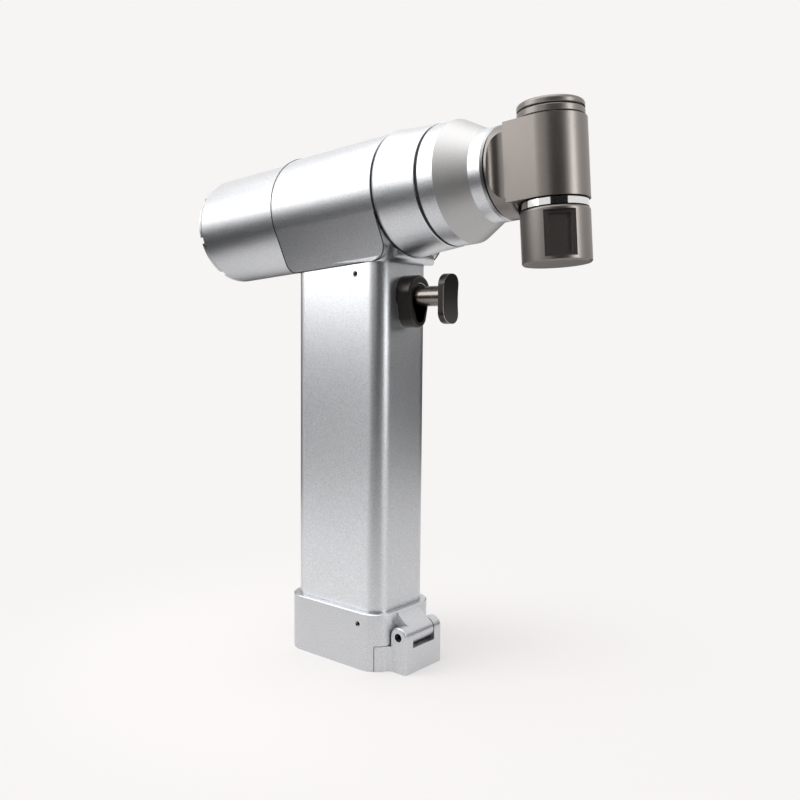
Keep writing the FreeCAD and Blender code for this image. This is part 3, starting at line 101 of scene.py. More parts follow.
class SawSizes(bpy.types.PropertyGroup):
    """Sizes of the finish, in metres unless they say otherwise."""

    grain: FloatProperty(
        name="Blast grain",
        description="Spacing of the dimples left by blasting, drawn coarse enough to show",
        default=0.42 * MM,
        min=0.05 * MM,
        unit="LENGTH",
    )
    edge: FloatProperty(
        name="Edge break",
        description="Width of the bright edge that deburring leaves",
        default=0.18 * MM,
        min=0,
        unit="LENGTH",
    )
    smooth: FloatProperty(
        name="Smooth angle",
        description="Edges sharper than this stay crisp",
        default=math.radians(32),
        subtype="ANGLE",
    )
    tilt: FloatProperty(
        name="Barrel tilt",
        description="How far the barrel's nose is raised, in degrees",
        default=4.4,
    )
    lens: FloatProperty(
        name="Lens",
        description="Focal length of the camera, in millimetres",
        default=39.26,
        min=1,
    )


def colours():
    return bpy.context.scene.saw_colours


def sizes():
    return bpy.context.scene.saw_sizes


def add(tree, kind, inputs=None, **settings):
    """Adds a node with its settings. An input is a value, or an output to link from."""
    made = tree.nodes.new(kind)
    for name, value in settings.items():
        setattr(made, name, value)
    for name, value in (inputs or {}).items():
        socket = made.inputs[name]
        if isinstance(value, bpy.types.NodeSocket):
            tree.links.new(value, socket)
        else:
            socket.default_value = value
    return made


def finish_of(name):
    """An empty material with its shader: returns (material, tree, shader, object coordinates)."""
    material = bpy.data.materials.new(name)
    material.use_nodes = True
    tree = material.node_tree
    tree.nodes.clear()
    shader = add(tree, "ShaderNodeBsdfPrincipled")
    add(tree, "ShaderNodeOutputMaterial", {"Surface": shader.outputs["BSDF"]})
    place = add(tree, "ShaderNodeTexCoord").outputs["Object"]
    return material, tree, shader, place


def shade(colour, factor):
    return tuple(min(1.0, c * factor) for c in colour[:3]) + (1.0,)


def blasted(name, colour, roughness, contrast, relief):
    """Metal after bead blasting: a fine even grain of dimples that glitter near a highlight."""
    material, tree, shader, place = finish_of(name)
    grain = add(
        tree,
        "ShaderNodeTexNoise",
        {"Vector": place, "Scale": 1 / sizes().grain, "Detail": 2.0, "Roughness": 0.7},
    )
    speckle = add(
        tree,
        "ShaderNodeMapRange",
        {
            "Value": grain.outputs["Fac"],
            "From Min": 0.3,
            "From Max": 0.7,
            "To Min": 1 - contrast,
            "To Max": 1 + contrast,
        },
    )
    drift = add(
        tree,
        "ShaderNodeTexNoise",
        {"Vector": place, "Scale": 1 / 0.024, "Detail": 3.0, "Roughness": 0.5},
    )
    # A and B come once for each kind of data, so the colour ones are set by their place
    tint = add(
        tree,
        "ShaderNodeMix",
        {
            "Factor": drift.outputs["Fac"],
            6: shade(colour, 0.96),
            7: shade(colour, 1.03),
        },
        data_type="RGBA",
    )
    glitter = add(tree, "ShaderNodeVectorMath", operation="MULTIPLY")
    tree.links.new(tint.outputs[2], glitter.inputs[0])
    tree.links.new(speckle.outputs["Result"], glitter.inputs[1])
    tree.links.new(glitter.outputs["Vector"], shader.inputs["Base Color"])
    shader.inputs["Metallic"].default_value = 1.0
    satin = add(
        tree,
        "ShaderNodeMapRange",
        {
            "Value": grain.outputs["Fac"],
            "To Min": roughness - 0.08,
            "To Max": roughness + 0.08,
        },
    )
    tree.links.new(satin.outputs["Result"], shader.inputs["Roughness"])
    bump = add(
        tree,
        "ShaderNodeBump",
        {
            "Height": grain.outputs["Fac"],
            "Strength": relief,
            "Distance": 0.06 * MM,
        },
    )
    tree.links.new(bump.outputs["Normal"], shader.inputs["Normal"])
    return material


def turned(name, colour, roughness):
    """Metal left by a fine finishing cut or a polish: nearly even, with faint lines."""
    material, tree, shader, place = finish_of(name)
    lines = add(
        tree,
        "ShaderNodeTexNoise",
        {"Vector": place, "Scale": 1 / (1.6 * MM), "Detail": 4.0, "Roughness": 0.6},
    )
    tint = add(
        tree,
        "ShaderNodeMapRange",
        {"Value": lines.outputs["Fac"], "To Min": 0.94, "To Max": 1.04},
    )
    scaled = add(
        tree, "ShaderNodeVectorMath", {0: colour[:3], 1: tint.outputs["Result"]},
        operation="MULTIPLY",
    )
    tree.links.new(scaled.outputs["Vector"], shader.inputs["Base Color"])
    shader.inputs["Metallic"].default_value = 1.0
    wipe = add(
        tree,
        "ShaderNodeMapRange",
        {
            "Value": lines.outputs["Fac"],
            "To Min": roughness * 0.8,
            "To Max": roughness * 1.25,
        },
    )
    tree.links.new(wipe.outputs["Result"], shader.inputs["Roughness"])
    return material


def moulded(name, colour, roughness, texture, relief, metallic=0.0):
    """Rubber, plastic or paint: an even skin with a fine moulded or sprayed texture."""
    material, tree, shader, place = finish_of(name)
    skin = add(
        tree,
        "ShaderNodeTexNoise",
        {"Vector": place, "Scale": 1 / texture, "Detail": 3.0, "Roughness": 0.6},
    )
    tint = add(
        tree,
        "ShaderNodeMapRange",
        {"Value": skin.outputs["Fac"], "To Min": 0.86, "To Max": 1.14},
    )
    scaled = add(
        tree, "ShaderNodeVectorMath", {0: colour[:3], 1: tint.outputs["Result"]},
        operation="MULTIPLY",
    )
    tree.links.new(scaled.outputs["Vector"], shader.inputs["Base Color"])
    shader.inputs["Metallic"].default_value = metallic
    wipe = add(
        tree,
        "ShaderNodeMapRange",
        {
            "Value": skin.outputs["Fac"],
            "To Min": roughness - 0.06,
            "To Max": roughness + 0.06,
        },
    )
    tree.links.new(wipe.outputs["Result"], shader.inputs["Roughness"])
    bump = add(
        tree,
        "ShaderNodeBump",
        {"Height": skin.outputs["Fac"], "Strength": relief, "Distance": 0.05 * MM},
    )
    tree.links.new(bump.outputs["Normal"], shader.inputs["Normal"])
    return material


FINISHES = {}


def finishes():
    """Every finish of the tool, made once."""
    if FINISHES:
        return FINISHES
    palette = colours()
    FINISHES.update(
        {
            # clear anodised aluminium, bead blasted: pale, satin and finely speckled
            "blasted_aluminium": blasted(
                "bead_blasted_aluminium", palette.aluminium, 0.37, 0.15, 0.6
            ),
            # the nose's taper is blasted with coarser grit, so it is darker and more matt
            "nose_taper": blasted(
                "coarse_blasted_aluminium", palette.nose, 0.52, 0.07, 0.5
            ),
            # titanium grey of the head: finer and smoother than the barrel
            "titanium_grey": blasted(
                "blasted_titanium", palette.titanium, 0.36, 0.05, 0.25
            ),
            "bright_edge": turned("deburred_aluminium_edge", palette.aluminium, 0.22),
            # deburred titanium edge, its colour raised by half again as a painted highlight along
            # the edges
            "titanium_edge": turned(
                "deburred_titanium_edge_painted_highlight", shade(palette.titanium, 1.5), 0.25
            ),
            "polished_steel": turned("polished_stainless_steel", palette.steel, 0.07),
            # the trigger's shaft is left as turned: greyer and softer than the blade seat
            "turned_steel": turned("turned_stainless_steel", palette.shaft, 0.26),
            # screws blackened in a bath, so that their sockets read as dark dots
            "black_oxide": turned("black_oxide_steel", palette.oxide, 0.38),
            # edges where the dark lacquer is thin and the metal shows through; their pale colour is
            # also a painted highlight along the rims
            "worn_and_highlit_edge": turned("worn_lacquer_edge_and_painted_highlight", linear("#B9B5B0"), 0.25),
            "machined_steel": turned("ground_steel", shade(palette.steel, 0.7), 0.3),
            "motor_iron": turned("laminated_iron", shade(palette.steel, 0.3), 0.45),
            # cured lacquer on metal: dark, satin, with a soft coat of gloss
            "dark_coating": moulded(
                "satin_dark_lacquer", palette.coating, 0.33, 0.5 * MM, 0.3, metallic=0.9
            ),
            # the same black also goes to the dark beads that paint the shadow in the seams
            "black_seal": moulded("silicone_seal_and_seam_shadow", palette.seal, 0.55, 0.8 * MM, 0.3),
            "black_plastic": moulded(
                "moulded_polyamide", linear("#17181A"), 0.5, 0.6 * MM, 0.4
            ),
            "battery_wrap": moulded(
                "battery_shrink_wrap", linear("#2B3036"), 0.35, 1.5 * MM, 0.2
            ),
            "circuit_board": moulded(
                "solder_mask", linear("#1D5B3C"), 0.35, 1.2 * MM, 0.2
            ),
            "contact_brass": turned("turned_brass", linear("#C9A45C"), 0.25),
        }
    )
    return FINISHES


def settle(piece, finish, body, *nodes):
    """Gives a finished piece its material and body, and hides the CAD nodes that it stands for."""
    if finish:
        piece.data.materials.clear()
        piece.data.materials.append(finishes()[finish])
    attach(piece, body)
    if nodes:
        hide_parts(*nodes)
    return piece


def body_of(node):
    return next(
        body
        for body, members in frame["record"]["behaviour"]["bodies"].items()
        if node in members
    )


def slot_of(node):
    return next(
        part["material_slot"]
        for part in frame["record"]["subparts"]
        if part["node"] == node
    )


def baked(piece):
    """The piece with its modifiers made part of its mesh."""
    graph = bpy.context.evaluated_depsgraph_get()
    mesh = bpy.data.meshes.new_from_object(piece.evaluated_get(graph))
    piece.modifiers.clear()
    piece.data = mesh
    return piece


def welded(node, name):
    """A copy of a CAD node, its triangles joined into whole faces and smooth but for real edges."""
    mesh = frame["nodes"][node].data.copy()
    mesh.name = name
    for layer in [a for a in mesh.attributes if a.name == "custom_normal"]:
        mesh.attributes.remove(layer)
    shape = bmesh.new()
    shape.from_mesh(mesh)
    bmesh.ops.remove_doubles(shape, verts=shape.verts, dist=0.001 * MM)
    bmesh.ops.dissolve_degenerate(shape, edges=shape.edges, dist=0.0005 * MM)
    bmesh.ops.dissolve_limit(
        shape, angle_limit=math.radians(0.3), verts=shape.verts, edges=shape.edges
    )
    shape.to_mesh(mesh)
    shape.free()
    mesh.shade_smooth()
    mesh.set_sharp_from_angle(angle=sizes().smooth)
    piece = bpy.data.objects.new(name, mesh)
    bpy.context.scene.collection.objects.link(piece)
    return piece


def dressed(node, finish=None, edge=0.0, edge_finish="bright_edge"):
    """A CAD node redrawn with smooth curves and, where it has any, a fine broken edge."""
    finish = finish or slot_of(node)
    piece = welded(node, node + "_skin")
    piece.data.materials.clear()
    piece.data.materials.append(finishes()[finish])
    if edge:
        piece.data.materials.append(finishes()[edge_finish])
        bevel = piece.modifiers.new("edge_break", "BEVEL")
        bevel.width = edge
        bevel.segments = 2
        bevel.limit_method = "ANGLE"
        bevel.angle_limit = math.radians(40)
        bevel.material = 1
    flow = piece.modifiers.new("even_shading", "WEIGHTED_NORMAL")
    flow.mode = "FACE_AREA"
    flow.weight = 100
    flow.keep_sharp = True
    baked(piece)
    for group, members in LIT.items():
        if node in members:
            lit_group(group).objects.link(piece)
    return settle(piece, None, body_of(node), node)


# The saddle in the barrel's own frame, in millimetres: along it, across it and up from its axis.
# buried is how far out the faces lie that the drum's wall hides.
SADDLE = {
    "axis_height": 163.5,
    "radius": 21.2,
    "back": -25.0,
    "front": 22.5,
    "underside": -22.7,
    "back_corner": 3.5,
    "front_corner": 6.0,
    "leave_angle": 22.0,
    "buried": 20.8,
    "seam": 0.2,
}


def barrel_point(along, across, up):
    """A point of the barrel's own frame, in millimetres, as a point of the scene."""
    tilt = math.radians(sizes().tilt)
    return MM * Vector(
        (
            along * math.cos(tilt) - up * math.sin(tilt),
            across,
            SADDLE["axis_height"] + along * math.sin(tilt) + up * math.cos(tilt),
        )
    )


def flank_at(up):
    """How far out the flank stands at a height: it leaves the barrel's round without a crease."""
    leave = math.radians(SADDLE["leave_angle"])
    start = -SADDLE["radius"] * math.sin(leave)
    return SADDLE["radius"] * math.cos(leave) - (start - up) * math.tan(leave)


def saddle_stations(steps=10):
    """(Along, underside) pairs from back to front: a round turns the underside up at each end."""
    stations = []
    for end, inward, corner in (
        (SADDLE["back"], 1, SADDLE["back_corner"]),
        (SADDLE["front"], -1, SADDLE["front_corner"]),
    ):
        turn = []
        for step in range(steps + 1):
            angle = math.pi / 2 * step / steps
            along = end + inward * corner * (1 - math.cos(angle))
            turn.append((along, SADDLE["underside"] + corner * (1 - math.sin(angle))))
        stations += turn if inward > 0 else turn[::-1]
    return stations


def saddle_section(along, underside, down=12, across=24, inset=0.4):
    """The skin at a station, as one loop: flank, underside, flank, and back inside the wall."""
    leave = math.radians(SADDLE["leave_angle"])
    start = -SADDLE["radius"] * math.sin(leave)
    flank = []
    for step in range(down + 1):
        up = start + (underside - start) * step / down
        flank.append((flank_at(up), up))
    edge = flank[-1][0]
    under, inner = [], []
    for step in range(1, across):
        side = edge - 2 * edge * step / across
        hidden = -math.sqrt(max(0, SADDLE["buried"] ** 2 - side**2))
        under.append((side, min(underside, hidden)))
    for step in range(across + 1):
        angle = -math.pi + leave + (math.pi - 2 * leave) * step / across
        reach = SADDLE["buried"] - inset
        inner.append((reach * math.cos(angle), reach * math.sin(angle)))
    far = [(-side, up) for side, up in reversed(flank)]
    return [barrel_point(along, side, up) for side, up in flank + under + far + inner]


def skin_between(name, loops, sharp, closed=False):
    """A surface through loops of equally many points, with flat ends unless it closes on itself."""
    shape = bmesh.new()
    rings = [[shape.verts.new(point) for point in loop] for loop in loops]
    pairs = list(zip(rings, rings[1:]))
    if closed:
        pairs.append((rings[-1], rings[0]))
    for before, after in pairs:
        for index in range(len(before)):
            following = (index + 1) % len(before)
            shape.faces.new(
                (before[index], before[following], after[following], after[index])
            )
    if not closed:
        shape.faces.new(rings[0])
        shape.faces.new(rings[-1])
    bmesh.ops.recalc_face_normals(shape, faces=shape.faces)
    mesh = bpy.data.meshes.new(name)
    shape.to_mesh(mesh)
    shape.free()
    mesh.shade_smooth()
    mesh.set_sharp_from_angle(angle=sharp)
    piece = bpy.data.objects.new(name, mesh)
    bpy.context.scene.collection.objects.link(piece)
    return piece


def seam_line(name, points):
    """The shadow gap between two parts, as a thin dark bead along it."""
    line = bpy.data.curves.new(name, "CURVE")
    line.dimensions = "3D"
    line.bevel_depth = SADDLE["seam"] * MM
    line.bevel_resolution = 1
    path = line.splines.new("POLY")
    path.points.add(len(points) - 1)
    for point, place in zip(path.points, points):
        point.co = (*place, 1)
    curve = bpy.data.objects.new(name, line)
    bpy.context.scene.collection.objects.link(curve)
    graph = bpy.context.evaluated_depsgraph_get()
    mesh = bpy.data.meshes.new_from_object(curve.evaluated_get(graph))
    bpy.data.objects.remove(curve)
    piece = bpy.data.objects.new(name, mesh)
    bpy.context.scene.collection.objects.link(piece)
    # the bead takes the seal's black as a painted shadow of the gap
    return settle(piece, "black_seal", "frame")


def make_saddle_flanks():
    """The flanks, which run straight down from the barrel's round to the grip, and the dark beads
    that paint the shadow in their seams.
    """
    sections = [saddle_section(*station) for station in saddle_stations()]
    flanks = skin_between("saddle_flanks", sections, sizes().smooth)
    settle(flanks, "blasted_aluminium", "frame")
    leave = math.radians(SADDLE["leave_angle"])
    top = -SADDLE["radius"] * math.sin(leave)
    for word, hand in (("left", 1), ("right", -1)):
        edge = [barrel_point(SADDLE["back"], hand * flank_at(top), top)]
        for along, underside in saddle_stations():
            edge.append(barrel_point(along, hand * flank_at(underside), underside))
        edge.append(barrel_point(SADDLE["front"], hand * flank_at(top), top))
        seam_line(f"flank_seam_{word}", edge)
    rim = []
    rim_steps = 96
    for step in range(rim_steps + 1):
        angle = -leave + (math.pi + 2 * leave) * step / rim_steps
        rim.append(
            barrel_point(
                SADDLE["back"],
                SADDLE["radius"] * math.cos(angle),
                SADDLE["radius"] * math.sin(angle),
            )
        )
    seam_line("sleeve_seam", rim)


# The nose's outline in millimetres: along the barrel, out from its axis, and whether the face
# that starts there is the taper
NOSE_SKIN = (
    (40.95, 19.73, False),
    (41.25, 20.03, False),
    (47.25, 20.03, True),
    (56.9, 14.83, False),
    (61.3, 14.83, False),
    (61.93, 14.2, False),
    (61.9, 13.9, False),
    (56.9, 14.5, False),
    (47.2, 19.7, False),
    (41.0, 19.4, False),
)


def make_nose_skin(sides=160):
    """The nose's outer skin: two bright bands and, between them, the coarser blasted taper."""
    rings = []
    for along, out, _tapered in NOSE_SKIN:
        angles = [2 * math.pi * side / sides for side in range(sides)]
        rings.append(
            [
                barrel_point(along, out * math.cos(angle), out * math.sin(angle))
                for angle in angles
            ]
        )
    piece = skin_between("nose_skin", rings, math.radians(20), closed=True)
    for finish in ("blasted_aluminium", "nose_taper"):
        piece.data.materials.append(finishes()[finish])
    for index, face in enumerate(piece.data.polygons):
        face.material_index = int(NOSE_SKIN[index // sides][2])
    settle(piece, None, "frame")


def ring_of(spread, along, corners=24):
    """Points round the Y axis at a distance given for each angle."""
    points = []
    for corner in range(corners):
        angle = 2 * math.pi * corner / corners
        across = spread(angle) * math.cos(angle)
        up = spread(angle) * math.sin(angle)
        points.append(Vector((across, along, up)))
    return points


def set_screw(radius, length):
    """A set screw along Y, its outer end at the origin, with chamfers and a hexagon socket."""
    chamfer = 0.18 * radius
    socket = 0.5 * radius
    socket_depth = 1.2 * radius

    def hexagon(angle):
        return socket / math.cos(angle % (math.pi / 3) - math.pi / 6)

    rings = [
        ring_of(lambda angle: radius - chamfer, -length),
        ring_of(lambda angle: radius, chamfer - length),
        ring_of(lambda angle: radius, -chamfer),
        ring_of(lambda angle: radius - chamfer, 0),
        ring_of(hexagon, 0),
        ring_of(hexagon, -socket_depth),
    ]
    return skin_between("screw_pattern", rings, sizes().smooth)


def screw_nodes():
    """Geometry Nodes that put a copy of a screw on every point, facing out, in one metal."""
    tree = bpy.data.node_groups.new("screws_on_points", "GeometryNodeTree")
    for name, kind in (
        ("Points", "NodeSocketGeometry"),
        ("Screw", "NodeSocketObject"),
        ("Metal", "NodeSocketMaterial"),
    ):
        tree.interface.new_socket(name, in_out="INPUT", socket_type=kind)
    tree.interface.new_socket(
        "Screws", in_out="OUTPUT", socket_type="NodeSocketGeometry"
    )
    given = add(tree, "NodeGroupInput")
    turn = add(
        tree, "GeometryNodeInputNamedAttribute", {"Name": "turn"}, data_type="FLOAT"
    )
    facing = add(tree, "ShaderNodeCombineXYZ", {"Z": turn.outputs["Attribute"]})
    screw = add(tree, "GeometryNodeObjectInfo", {"Object": given.outputs["Screw"]})
    copies = add(
        tree,
        "GeometryNodeInstanceOnPoints",
        {
            "Points": given.outputs["Points"],
            "Instance": screw.outputs["Geometry"],
            "Rotation": facing.outputs["Vector"],
        },
    )
    real = add(
        tree, "GeometryNodeRealizeInstances", {"Geometry": copies.outputs["Instances"]}
    )
    metal = add(
        tree,
        "GeometryNodeSetMaterial",
        {"Geometry": real.outputs["Geometry"], "Material": given.outputs["Metal"]},
    )
    add(tree, "NodeGroupOutput", {"Screws": metal.outputs["Geometry"]})
    return tree


def make_set_screws():
    """The four set screws of the grip and the collar, as copies of one screw."""
    nodes = (
        "grip_screw_left",
        "grip_screw_right",
        "collar_screw_left",
        "collar_screw_right",
    )
    points, turns = [], []
    for node in nodes:
        low, high = (Vector(corner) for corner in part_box(node))
        middle = (low + high) / 2
        outside = high.y if middle.y > 0 else low.y
        points.append((middle.x, outside, middle.z))
        turns.append(0 if middle.y > 0 else math.pi)
    low, high = (Vector(corner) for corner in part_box(nodes[0]))
    pattern = set_screw((high.x - low.x) / 2, high.y - low.y)
    mesh = bpy.data.meshes.new("set_screws")
    mesh.from_pydata(points, [], [])
    mesh.attributes.new("turn", "FLOAT", "POINT").data.foreach_set("value", turns)
    piece = bpy.data.objects.new("set_screws", mesh)
    bpy.context.scene.collection.objects.link(piece)
    copier = piece.modifiers.new("screws_on_points", "NODES")
    copier.node_group = screw_nodes()
    given = {
        item.name: item.identifier
        for item in copier.node_group.interface.items_tree
        if item.in_out == "INPUT"
    }
    copier[given["Screw"]] = pattern
    copier[given["Metal"]] = finishes()["black_oxide"]
    baked(piece)
    bpy.data.objects.remove(pattern)
    settle(piece, None, "frame", *nodes)


class SawOperator:
    """What the saw's operators share."""

    bl_options = {"REGISTER", "UNDO"}


class SAW_OT_barrel(SawOperator, bpy.types.Operator):
    """Dress the saddle, the rear sleeve and its cap"""

    bl_idname = "saw.barrel"
    bl_label = "Barrel"

    def execute(self, context):
        dressed("main_housing")
        make_saddle_flanks()
        dressed("rear_sleeve", edge=sizes().edge)
        dressed("rear_cap", edge=sizes().edge)
        return {"FINISHED"}


class SAW_OT_nose(SawOperator, bpy.types.Operator):
    """Dress the front ring, its seal and the nose"""

    bl_idname = "saw.nose"
    bl_label = "Nose"

    def execute(self, context):
        dressed("front_ring", edge=sizes().edge)
        dressed("nose_seal")
        dressed("nose_cone")
        make_nose_skin()
        return {"FINISHED"}


class SAW_OT_head(SawOperator, bpy.types.Operator):
    """Dress the head with its caps and seals"""

    bl_idname = "saw.head"
    bl_label = "Head"

    def execute(self, context):
        for node in ("head_body", "head_cap_ring", "head_cap"):
            # the brighter edge finish paints a highlight along the head's edges
            dressed(node, edge=sizes().edge, edge_finish="titanium_edge")
        for node in ("head_seal_lower", "head_seal_upper"):
            dressed(node)
        return {"FINISHED"}


class SAW_OT_clamp(SawOperator, bpy.types.Operator):
    """Dress the blade seat, the clamp knob and what they hide"""

    bl_idname = "saw.clamp"
    bl_label = "Blade clamp"

    def execute(self, context):
        # the brighter edge finish paints a highlight along the knob's edges
        dressed("clamp_knob", edge=1.6 * sizes().edge, edge_finish="titanium_edge")
        for node in (
            "blade_seat",
            "knob_plate",
            "output_shaft",
            "spindle_nut",
            "clamp_spring",
        ):
            dressed(node)
        return {"FINISHED"}


class SAW_OT_grip(SawOperator, bpy.types.Operator):
    """Dress the grip, the collar and their set screws"""

    bl_idname = "saw.grip"
    bl_label = "Grip"

    def execute(self, context):
        dressed("grip_tube")
        dressed("base_collar", edge=sizes().edge)
        make_set_screws()
        return {"FINISHED"}


class SAW_OT_lid(SawOperator, bpy.types.Operator):
    """Dress the battery lid and its hinge"""

    bl_idname = "saw.lid"
    bl_label = "Battery lid"

    def execute(self, context):
        dressed("battery_lid", edge=sizes().edge)
        dressed("hinge_pin", "black_oxide")
        dressed("lid_pad")
        return {"FINISHED"}


class SAW_OT_trigger(SawOperator, bpy.types.Operator):
    """Dress the trigger with its guide, seal and spring"""

    bl_idname = "saw.trigger"
    bl_label = "Trigger"

    def execute(self, context):
        for node in ("trigger_bezel", "trigger_pad"):
            # the pale edge finish is partly wear and partly a painted highlight along the rims of
            # bezel and pad
            dressed(node, edge=1.3 * sizes().edge, edge_finish="worn_and_highlit_edge")
        dressed("trigger_shaft", "turned_steel", edge=sizes().edge)
        dressed("bezel_screw", "black_oxide")
        for node in (
            "trigger_seal",
            "trigger_guide",
            "trigger_magnet",
            "trigger_spring",
        ):
            dressed(node)
        return {"FINISHED"}


class SAW_OT_inside(SawOperator, bpy.types.Operator):
    """Dress the motor, the drive train, the battery and the electronics"""

    bl_idname = "saw.inside"
    bl_label = "Inside"

    def execute(self, context):
        for node in sorted(frame["nodes"]):
            if node + "_skin" not in bpy.data.objects:
                dressed(node)
        return {"FINISHED"}


def from_axes(right, up, place):
    """A placement from its right and up directions."""
    right, up = Vector(right).normalized(), Vector(up).normalized()
    back = right.cross(up)
    turn = Matrix((right, up, back)).transposed().to_4x4()
    return Matrix.Translation(place) @ turn


class SAW_OT_stage(SawOperator, bpy.types.Operator):
    """Set up the floor, the lamps and the camera"""

    bl_idname = "saw.stage"
    bl_label = "Studio"

    def execute(self, context):
        scene = context.scene
        scene.view_settings.view_transform = "Standard"
        self.make_camera(scene)
        self.make_floor(scene)
        self.make_world(scene)
        self.make_flags(scene)
        self.make_lamps(scene)
        return {"FINISHED"}

    def make_camera(self, scene):
        yaw, pitch, roll = (math.radians(a) for a in (39.68, 4.58, 0.54))
        ahead = Vector(
            (
                -math.sin(yaw) * math.cos(pitch),
                math.cos(yaw) * math.cos(pitch),
                -math.sin(pitch),
            )
        )
        level = Vector((math.cos(yaw), math.sin(yaw), 0))
        over = level.cross(ahead)
        right = level * math.cos(roll) + over * math.sin(roll)
        up = over * math.cos(roll) - level * math.sin(roll)
        lens = bpy.data.cameras.new("camera")
        lens.lens = sizes().lens
        lens.sensor_width = 36
        lens.clip_start = 0.01
        camera = bpy.data.objects.new("camera", lens)
        scene.collection.objects.link(camera)
        camera.matrix_world = from_axes(right, up, Vector((214.7, -236.3, 118.8)) * MM)
        scene.camera = camera

    def seen_directly(self, tree):
        """1 for rays that show a background: from the camera, through glass or off a shine."""
        path = add(tree, "ShaderNodeLightPath")
        seen = path.outputs["Is Camera Ray"]
        for kind in ("Is Transmission Ray", "Is Glossy Ray"):
            seen = add(
                tree,
                "ShaderNodeMath",
                {0: seen, 1: path.outputs[kind]},
                operation="MAXIMUM",
            ).outputs[0]
        return seen

    def make_floor(self, scene):
        """Pale paper, which carries the shadow near the object and runs into the backdrop."""
        reach = 3.0
        floor = stage_quad(
            "floor",
            [(-reach, -reach, 0), (reach, -reach, 0), (reach, reach, 0), (-reach, reach, 0)],
        )
        material = bpy.data.materials.new("studio_paper")
        material.use_nodes = True
        tree = material.node_tree
        tree.nodes.clear()
        paper = colours().paper
        matt = add(tree, "ShaderNodeBsdfDiffuse", {"Color": paper})
        glow = add(tree, "ShaderNodeEmission", {"Color": paper, "Strength": 1.0})
        place = add(tree, "ShaderNodeTexCoord").outputs["Object"]
        away = add(tree, "ShaderNodeVectorMath", {0: place}, operation="LENGTH")
        share = add(
            tree,
            "ShaderNodeMapRange",
            {
                "Value": away.outputs["Value"],
                **SHADOW_FADE,
            },
            interpolation_type="SMOOTHSTEP",
        )
        share = add(
            tree,
            "ShaderNodeMath",
            {0: self.seen_directly(tree), 1: share.outputs["Result"]},
            operation="MULTIPLY",
        )
        mix = add(
            tree,
            "ShaderNodeMixShader",
            {0: share.outputs[0], 1: matt.outputs[0], 2: glow.outputs[0]},
        )
        add(tree, "ShaderNodeOutputMaterial", {"Surface": mix.outputs[0]})
        floor.data.materials.append(material)

    def make_world(self, scene):
        world = bpy.data.worlds.new("studio")
        scene.world = world
        world.use_nodes = True
        tree = world.node_tree
        tree.nodes.clear()
        paper = colours().paper
        dim = add(tree, "ShaderNodeBackground", {"Color": paper, "Strength": ROOM_LIGHT})
        pale = add(tree, "ShaderNodeBackground", {"Color": paper, "Strength": 1.0})
        mix = add(
            tree,
            "ShaderNodeMixShader",
            {0: self.seen_directly(tree), 1: dim.outputs[0], 2: pale.outputs[0]},
        )
        add(tree, "ShaderNodeOutputWorld", {"Surface": mix.outputs[0]})

    def make_flags(self, scene):
        """Dark cloths out of the picture, which give polished and satin metal its dark bands."""
        cloth, tree, shader, place = finish_of("black_velvet")
        nap = add(tree, "ShaderNodeTexNoise", {"Vector": place, "Scale": 400.0})
        tone = add(
            tree,
            "ShaderNodeMapRange",
            {"Value": nap.outputs["Fac"], "To Min": 0.012, "To Max": 0.022},
        )
        tree.links.new(tone.outputs["Result"], shader.inputs["Base Color"])
        shader.inputs["Roughness"].default_value = 1.0
        shader.inputs["Specular IOR Level"].default_value = 0.0
        for name, first, last, foot, top, low, high in FLAGS:
            flag = stage_arc(name, first, last, foot, top, low, high)
            flag.data.materials.append(cloth)
            flag.visible_camera = False
            flag.visible_diffuse = False
            flag.visible_shadow = False
            flag.visible_transmission = False

    def make_lamps(self, scene):
        """Soft boxes: each stands at a place, aims at a point, and may light only some pieces."""
        for name, place, aim, width, height, power, pieces in LAMPS:
            lamp = bpy.data.lights.new(name, "AREA")
            lamp.shape = "RECTANGLE"
            lamp.size = width * MM
            lamp.size_y = height * MM
            lamp.energy = power
            holder = bpy.data.objects.new(name, lamp)
            scene.collection.objects.link(holder)
            place, aim = Vector(place) * MM, Vector(aim) * MM
            holder.location = place
            holder.rotation_mode = "QUATERNION"
            holder.rotation_quaternion = (aim - place).to_track_quat("-Z", "Y")
            if pieces:
                holder.light_linking.receiver_collection = lit_group(pieces)


# metres from the origin where the paper starts and ends to glow by itself, and its share of that
SHADOW_FADE = {"From Min": 0.03, "From Max": 0.16, "To Min": 0.4, "To Max": 1.0}

# strength of the pale room that surrounds the set
ROOM_LIGHT = 0.66

# name, first and last azimuth in degrees, then in millimetres the radius at the foot and at the
# top, and the lowest and the highest point
FLAGS = (
    ("dark_skirt", -230, -20, 270, 480, 2, 172),
    ("dark_side", -20, 120, 380, 520, 4, 172),
    ("dark_screen", -66, -14, 470, 470, 172, 420),
)

# name, place, aim, width and height in millimetres, watts, and the group of pieces it lights
LAMPS = (
    ("overhead_box", (-120, -120, 900), (0, 0, 100), 900, 900, 4.2, None),
    ("left_box", (-520, -620, 560), (0, 0, 150), 600, 600, 2.6, None),
    ("left_card", (-420, -470, 50), (0, 0, 70), 360, 360, 2.4, "lit_from_left"),
    ("right_strip", (430, 34, 170), (20, 0, 130), 90, 380, 0.55, "lit_from_right"),
)

# the pieces that the two linked lamps light
LIT = {
    "lit_from_left": ("grip_tube",),
    "lit_from_right": (
        "grip_tube",
        "base_collar",
        "battery_lid",
        "head_body",
        "head_cap_ring",
        "head_cap",
        "clamp_knob",
        "trigger_bezel",
        "trigger_pad",
        "trigger_shaft",
    ),
}


def stage_quad(name, corners):
    mesh = bpy.data.meshes.new(name)
    mesh.from_pydata(corners, [], [(0, 1, 2, 3)])
    quad = bpy.data.objects.new(name, mesh)
    bpy.context.scene.collection.objects.link(quad)
    return quad


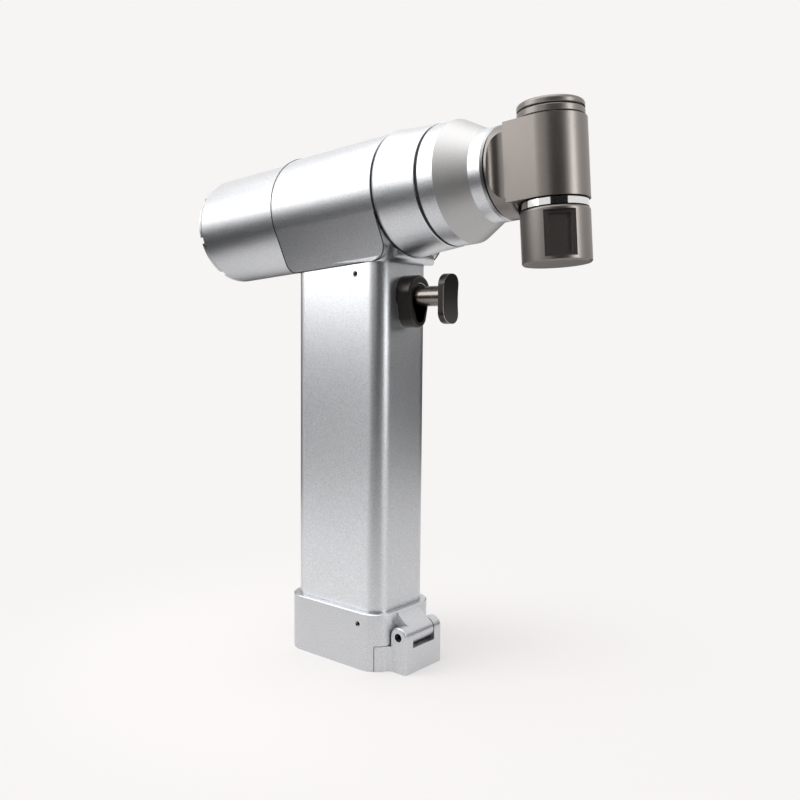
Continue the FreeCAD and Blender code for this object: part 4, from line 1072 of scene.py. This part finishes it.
def stage_arc(name, first, last, foot, top, low, high, steps=48):
    """A curved sheet round the origin, between azimuths in degrees; lengths in millimetres."""
    points = []
    for step in range(steps + 1):
        angle = math.radians(first + (last - first) * step / steps)
        for radius, height in ((foot, low), (top, high)):
            spot = Vector((radius * math.cos(angle), radius * math.sin(angle), height))
            points.append(spot * MM)
    faces = [(2 * s, 2 * s + 2, 2 * s + 3, 2 * s + 1) for s in range(steps)]
    mesh = bpy.data.meshes.new(name)
    mesh.from_pydata(points, [], faces)
    sheet = bpy.data.objects.new(name, mesh)
    bpy.context.scene.collection.objects.link(sheet)
    return sheet


def lit_group(name):
    """The collection of pieces that a lamp lights, made when it is first asked for."""
    return bpy.data.collections.get(name) or bpy.data.collections.new(name)


class SAW_PT_panel(bpy.types.Panel):
    """Lists the saw's pieces and settings"""

    bl_label = "Oscillating Saw"
    bl_idname = "SAW_PT_panel"
    bl_space_type = "VIEW_3D"
    bl_region_type = "UI"
    bl_category = "Saw"

    def draw(self, context):
        layout = self.layout
        for operator in PIECES:
            layout.operator(operator.bl_idname)
        for group in (context.scene.saw_sizes, context.scene.saw_colours):
            column = layout.column()
            for name in group.__annotations__:
                column.prop(group, name)


PIECES = (
    SAW_OT_stage,
    SAW_OT_barrel,
    SAW_OT_nose,
    SAW_OT_head,
    SAW_OT_clamp,
    SAW_OT_grip,
    SAW_OT_lid,
    SAW_OT_trigger,
    SAW_OT_inside,
)
CLASSES = (SawColours, SawSizes, *PIECES, SAW_PT_panel)


def register():
    for cls in CLASSES:
        bpy.utils.register_class(cls)
    bpy.types.Scene.saw_colours = PointerProperty(type=SawColours)
    bpy.types.Scene.saw_sizes = PointerProperty(type=SawSizes)


def unregister():
    del bpy.types.Scene.saw_sizes
    del bpy.types.Scene.saw_colours
    for cls in reversed(CLASSES):
        bpy.utils.unregister_class(cls)


def main():
    register()
    for operator in PIECES:
        name = operator.bl_idname.split(".")[1]
        getattr(bpy.ops.saw, name)()


if __name__ == "__main__":
    main()
